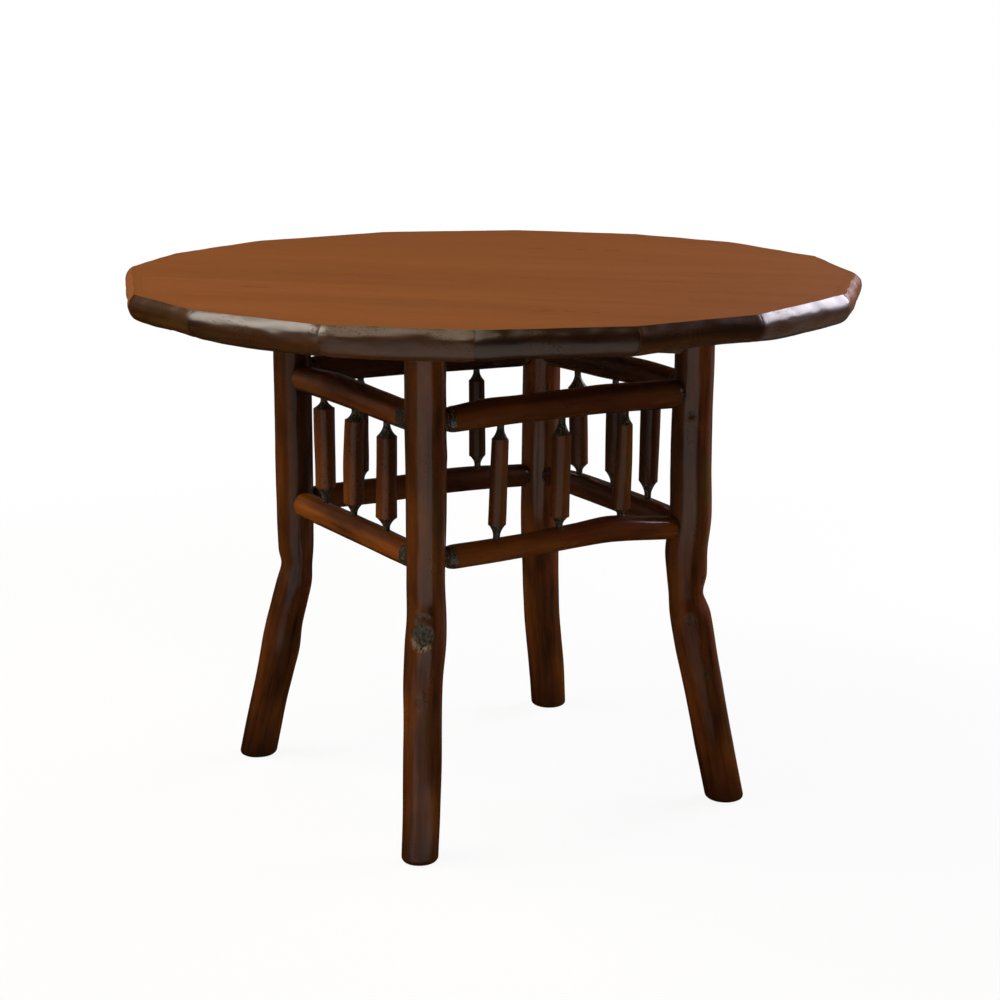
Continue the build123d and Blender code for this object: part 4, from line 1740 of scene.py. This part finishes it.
@dataclass(frozen=True)
class ClothAndCards(Finish):
    """Black cloth with softly edged grey cards before it, for the varnish to mirror.

    Attributes:
        facing_deg: Where the side that the table is shown from is, round from -Y.
        floor_card: How bright the card on the floor is, 1 being white.
        wall_card: How bright the upright card is at its left end.
        wall_fall: How much darker it is at its right end.
        right_card: How bright the floor and the low wall on the right are.
        back_card: How bright everything far behind the table is.
    """

    name: str = "black_cloth"
    facing_deg: float = 0.0
    black: Colour = (0.006, 0.006, 0.006)
    card: Colour = (1.0, 0.97, 0.93)
    floor_card: float = 0.60
    wall_card: float = 0.33
    wall_fall: float = 0.08
    right_card: float = 0.13
    back_card: float = 0.045

    def paint(self, recipe: Recipe) -> None:
        """Mixes the finish.

        Args:
            recipe: The material's tree.
        """
        across, depth, height = recipe.parts(recipe.own_place(self.facing_deg))
        reach = depth * -1.0
        on_floor = height.between(0.02, 0.0)
        # 0 straight in front of the table, and above 0 to the right, in radians.
        bearing = recipe.node("ShaderNodeMath", {"operation": "ARCTAN2"}, {0: across, 1: reach})
        left_edge = across + reach * 0.85 + 0.15
        floor = left_edge.between(-0.15, 0.35) * bearing.between(0.64, 0.46) * reach.between(0.36, 0.6)
        floor = floor * on_floor * reach.between(6.8, 5.5) * self.floor_card
        # The upright card goes from the left of the eye to a little right of it.
        wall = bearing.between(-1.35, -1.05) * bearing.between(0.45, 0.05) * height.between(3.4, 1.8)
        fall = bearing.between(-0.75, -0.15) * self.wall_fall
        wall = wall * (self.wall_card - fall) * reach.between(0.2, 1.2)
        wall = wall * (1.0 - on_floor)
        # The floor on the right takes light from the softbox over it.
        right = bearing.between(1.6, 1.9) * bearing.between(2.5, 2.1)
        away = recipe.node("ShaderNodeMath", {"operation": "ABSOLUTE"}, {0: across})
        right = right * away.between(0.35, 0.8) * height.between(1.3, 0.2) * self.right_card
        behind = reach.between(-1.5, -3.0) * self.back_card
        light = recipe.mix(floor + wall + right + behind, self.black, self.card)
        surface = recipe.node("ShaderNodeEmission", {}, {"Color": light, "Strength": 1.0})
        recipe.node("ShaderNodeOutputMaterial", {}, {"Surface": surface})


@dataclass(frozen=True)
class Softbox:
    """A soft lamp that faces a point of the table.

    Attributes:
        direction_deg: The direction it stands in, from +X, seen from above.
        rise_deg: How high it stands above level, seen from the point that it faces.
        distance: How far away it is.
        width: Its width.
        height: Its height.
        glow: How bright its face is, 1 being white.
        tint: The colour of its light.
        faces: The point that it faces.
    """

    name: str
    direction_deg: float
    rise_deg: float
    distance: float
    width: float
    height: float
    glow: float
    tint: Colour = (1.0, 1.0, 1.0)
    faces: tuple[float, float, float] = (0.0, 0.0, 0.6)

    def build(self) -> None:
        """Makes the lamp."""
        lamp = bpy.data.lights.new(self.name, "AREA")
        lamp.shape = "RECTANGLE"
        lamp.color = self.tint
        lamp.size, lamp.size_y = self.width, self.height
        lamp.energy = self.glow * math.pi * self.width * self.height
        made = link(self.name, lamp)
        back = towards(self.direction_deg, self.rise_deg)
        made.location = Vector(self.faces) + back * self.distance
        made.rotation_euler = back.to_track_quat("Z", "Y").to_euler()


@dataclass
class Studio:
    """A pale floor, a white surround, soft lamps and the camera.

    Black cloths hang all round, out of the camera's view, so that the varnish mirrors only the
    lamps and the grey cards in front of them.

    Attributes:
        camera_turn_deg: Where the camera stands, round from -Y.
        camera_rise_deg: How far down it looks.
        shade: The surround's light.
        window: Its light where it is brightest.
        window_deg: The direction of that, from +X.
    """

    camera_place: tuple[float, float, float] = (-1.6940, -3.0423, 1.2315)
    camera_turn_deg: float = -29.11
    camera_rise_deg: float = 13.43
    lens: float = 87.46
    sensor_width: float = 36.0
    shift: tuple[float, float] = (0.0111, 0.01745)
    floor_half_size: float = 60.0
    floor_height: float = -0.0004
    cloth_half_size: float = 7.0
    cloth_heights: tuple[float, float] = (-0.0002, 6.0)
    softboxes: tuple[Softbox, ...] = (
        Softbox("softbox_left", 151.0, 44.0, 4.0, 2.4, 1.85, 6.6, (1.0, 0.94, 0.83)),
        Softbox("softbox_left_low", 176.0, 27.0, 3.0, 2.2, 0.60, 5.0, (1.0, 0.92, 0.80)),
        Softbox("softbox_overhead", 199.0, 58.0, 2.6, 2.9, 1.6, 2.4, (1.0, 0.86, 0.64)),
        Softbox("softbox_right", -2.0, 25.0, 2.6, 2.1, 1.3, 7.4, (0.97, 0.92, 1.04)),
    )
    shade: Colour = (0.03, 0.03, 0.03)
    window: Colour = (1.1, 1.1, 1.1)
    window_deg: float = 150.0

    def build(self) -> None:
        """Makes everything that isn't the table."""
        self._floor()
        self._cloths()
        self._surround()
        for box in self.softboxes:
            box.build()
        self._camera()
        log.info("studio: %d softboxes, floor, cloths, surround and camera", len(self.softboxes))

    def _camera(self) -> None:
        """Makes the camera."""
        camera = bpy.data.cameras.new("camera")
        camera.lens = self.lens
        camera.sensor_width = self.sensor_width
        camera.shift_x, camera.shift_y = self.shift
        made = link("camera", camera)
        made.location = self.camera_place
        back = towards(self.camera_turn_deg - 90.0, self.camera_rise_deg)
        made.rotation_euler = (-back).to_track_quat("-Z", "Y").to_euler()
        bpy.context.scene.camera = made

    @staticmethod
    def _sheet(name: str, half: float, heights: Sequence[float], finish: Finish) -> bpy.types.Object:
        """Makes a level square of the stage, or a box where there are two heights.

        Args:
            name: The object's name.
            half: Half its width.
            heights: The height of its floor, and of its roof if it has one.
            finish: Its finish.

        Returns:
            The object.
        """
        plan = ((-half, -half), (half, -half), (half, half), (-half, half))
        corners = [(x, y, z) for z in heights for x, y in plan]
        faces = [(0, 1, 2, 3)]
        if len(heights) > 1:
            faces += [(4, 5, 6, 7)] + [(a, (a + 1) % 4, (a + 1) % 4 + 4, a + 4) for a in range(4)]
        mesh = bpy.data.meshes.new(name)
        mesh.from_pydata(corners, [], faces)
        made = link(name, mesh)
        made.data.materials.append(finish.material())
        return made

    def _floor(self) -> None:
        """Makes the floor."""
        self._sheet("floor", self.floor_half_size, (self.floor_height,), FloorPaper())

    def _cloths(self) -> None:
        """Hangs the cloths and cards, which only mirror images see."""
        finish = ClothAndCards(facing_deg=self.camera_turn_deg)
        made = self._sheet("black_cloths", self.cloth_half_size, self.cloth_heights, finish)
        made.visible_camera = False
        made.visible_diffuse = False
        made.visible_transmission = False
        made.visible_shadow = False

    def _surround(self) -> None:
        """Makes the surround: white to look at, and grey as light."""
        world = bpy.data.worlds.new("surround")
        bpy.context.scene.world = world
        world.use_nodes = True
        recipe = Recipe(world.node_tree)
        here = recipe.node("ShaderNodeTexCoord", output="Generated")
        settings = {0: here, 1: tuple(towards(self.window_deg, 0.0))}
        facing = recipe.node("ShaderNodeVectorMath", {"operation": "DOT_PRODUCT"}, settings, "Value")
        low = recipe.parts(here)[2].between(0.5, 0.05)
        share = facing.between(0.15, 1.0) * low
        other = facing.between(-0.3, -1.0) * low * 0.6
        ambient = recipe.mix(share + other, self.shade, self.window)
        colour = recipe.mix(recipe.seen_plainly(), ambient, (1.0, 1.0, 1.0))
        surface = recipe.node("ShaderNodeBackground", {}, {"Color": colour, "Strength": 1.0})
        recipe.node("ShaderNodeOutputWorld", {}, {"Surface": surface})


def main() -> None:
    """Builds the table's look and the studio round it."""
    logging.basicConfig(level=logging.INFO, format="%(name)s: %(message)s")
    bpy.context.scene.view_settings.view_transform = "Standard"
    pole = PoleBark("varnished_pole")
    spindle = PoleBark("varnished_spindle", 40.0, varnish_roughness=0.22, varnish=0.66)
    edge = PoleBark(
        "varnished_edge_pole",
        80.0,
        amber=(0.072, 0.0225, 0.0010),
        mahogany=(0.044, 0.0128, 0.0006),
        umber=(0.016, 0.0045, 0.0004),
        olive=(0.040, 0.0200, 0.0022),
        russet=(0.046, 0.0080, 0.0004),
        varnish_roughness=0.30,
    )
    planed_edge = PlanedWood("planed_edge_flat", 0.97, 60.0)
    legs = PoleLegs(pole.material())
    legs.build()
    rungs = RungRings(legs.finish)
    rungs.build()
    Spindles(spindle.material(), rungs).build()
    TopPanel().build()
    SplitPoleEdging(edge.material(), planed_edge.material()).build()
    Underside().build()
    Studio().build()


if __name__ == "__main__":
    main()
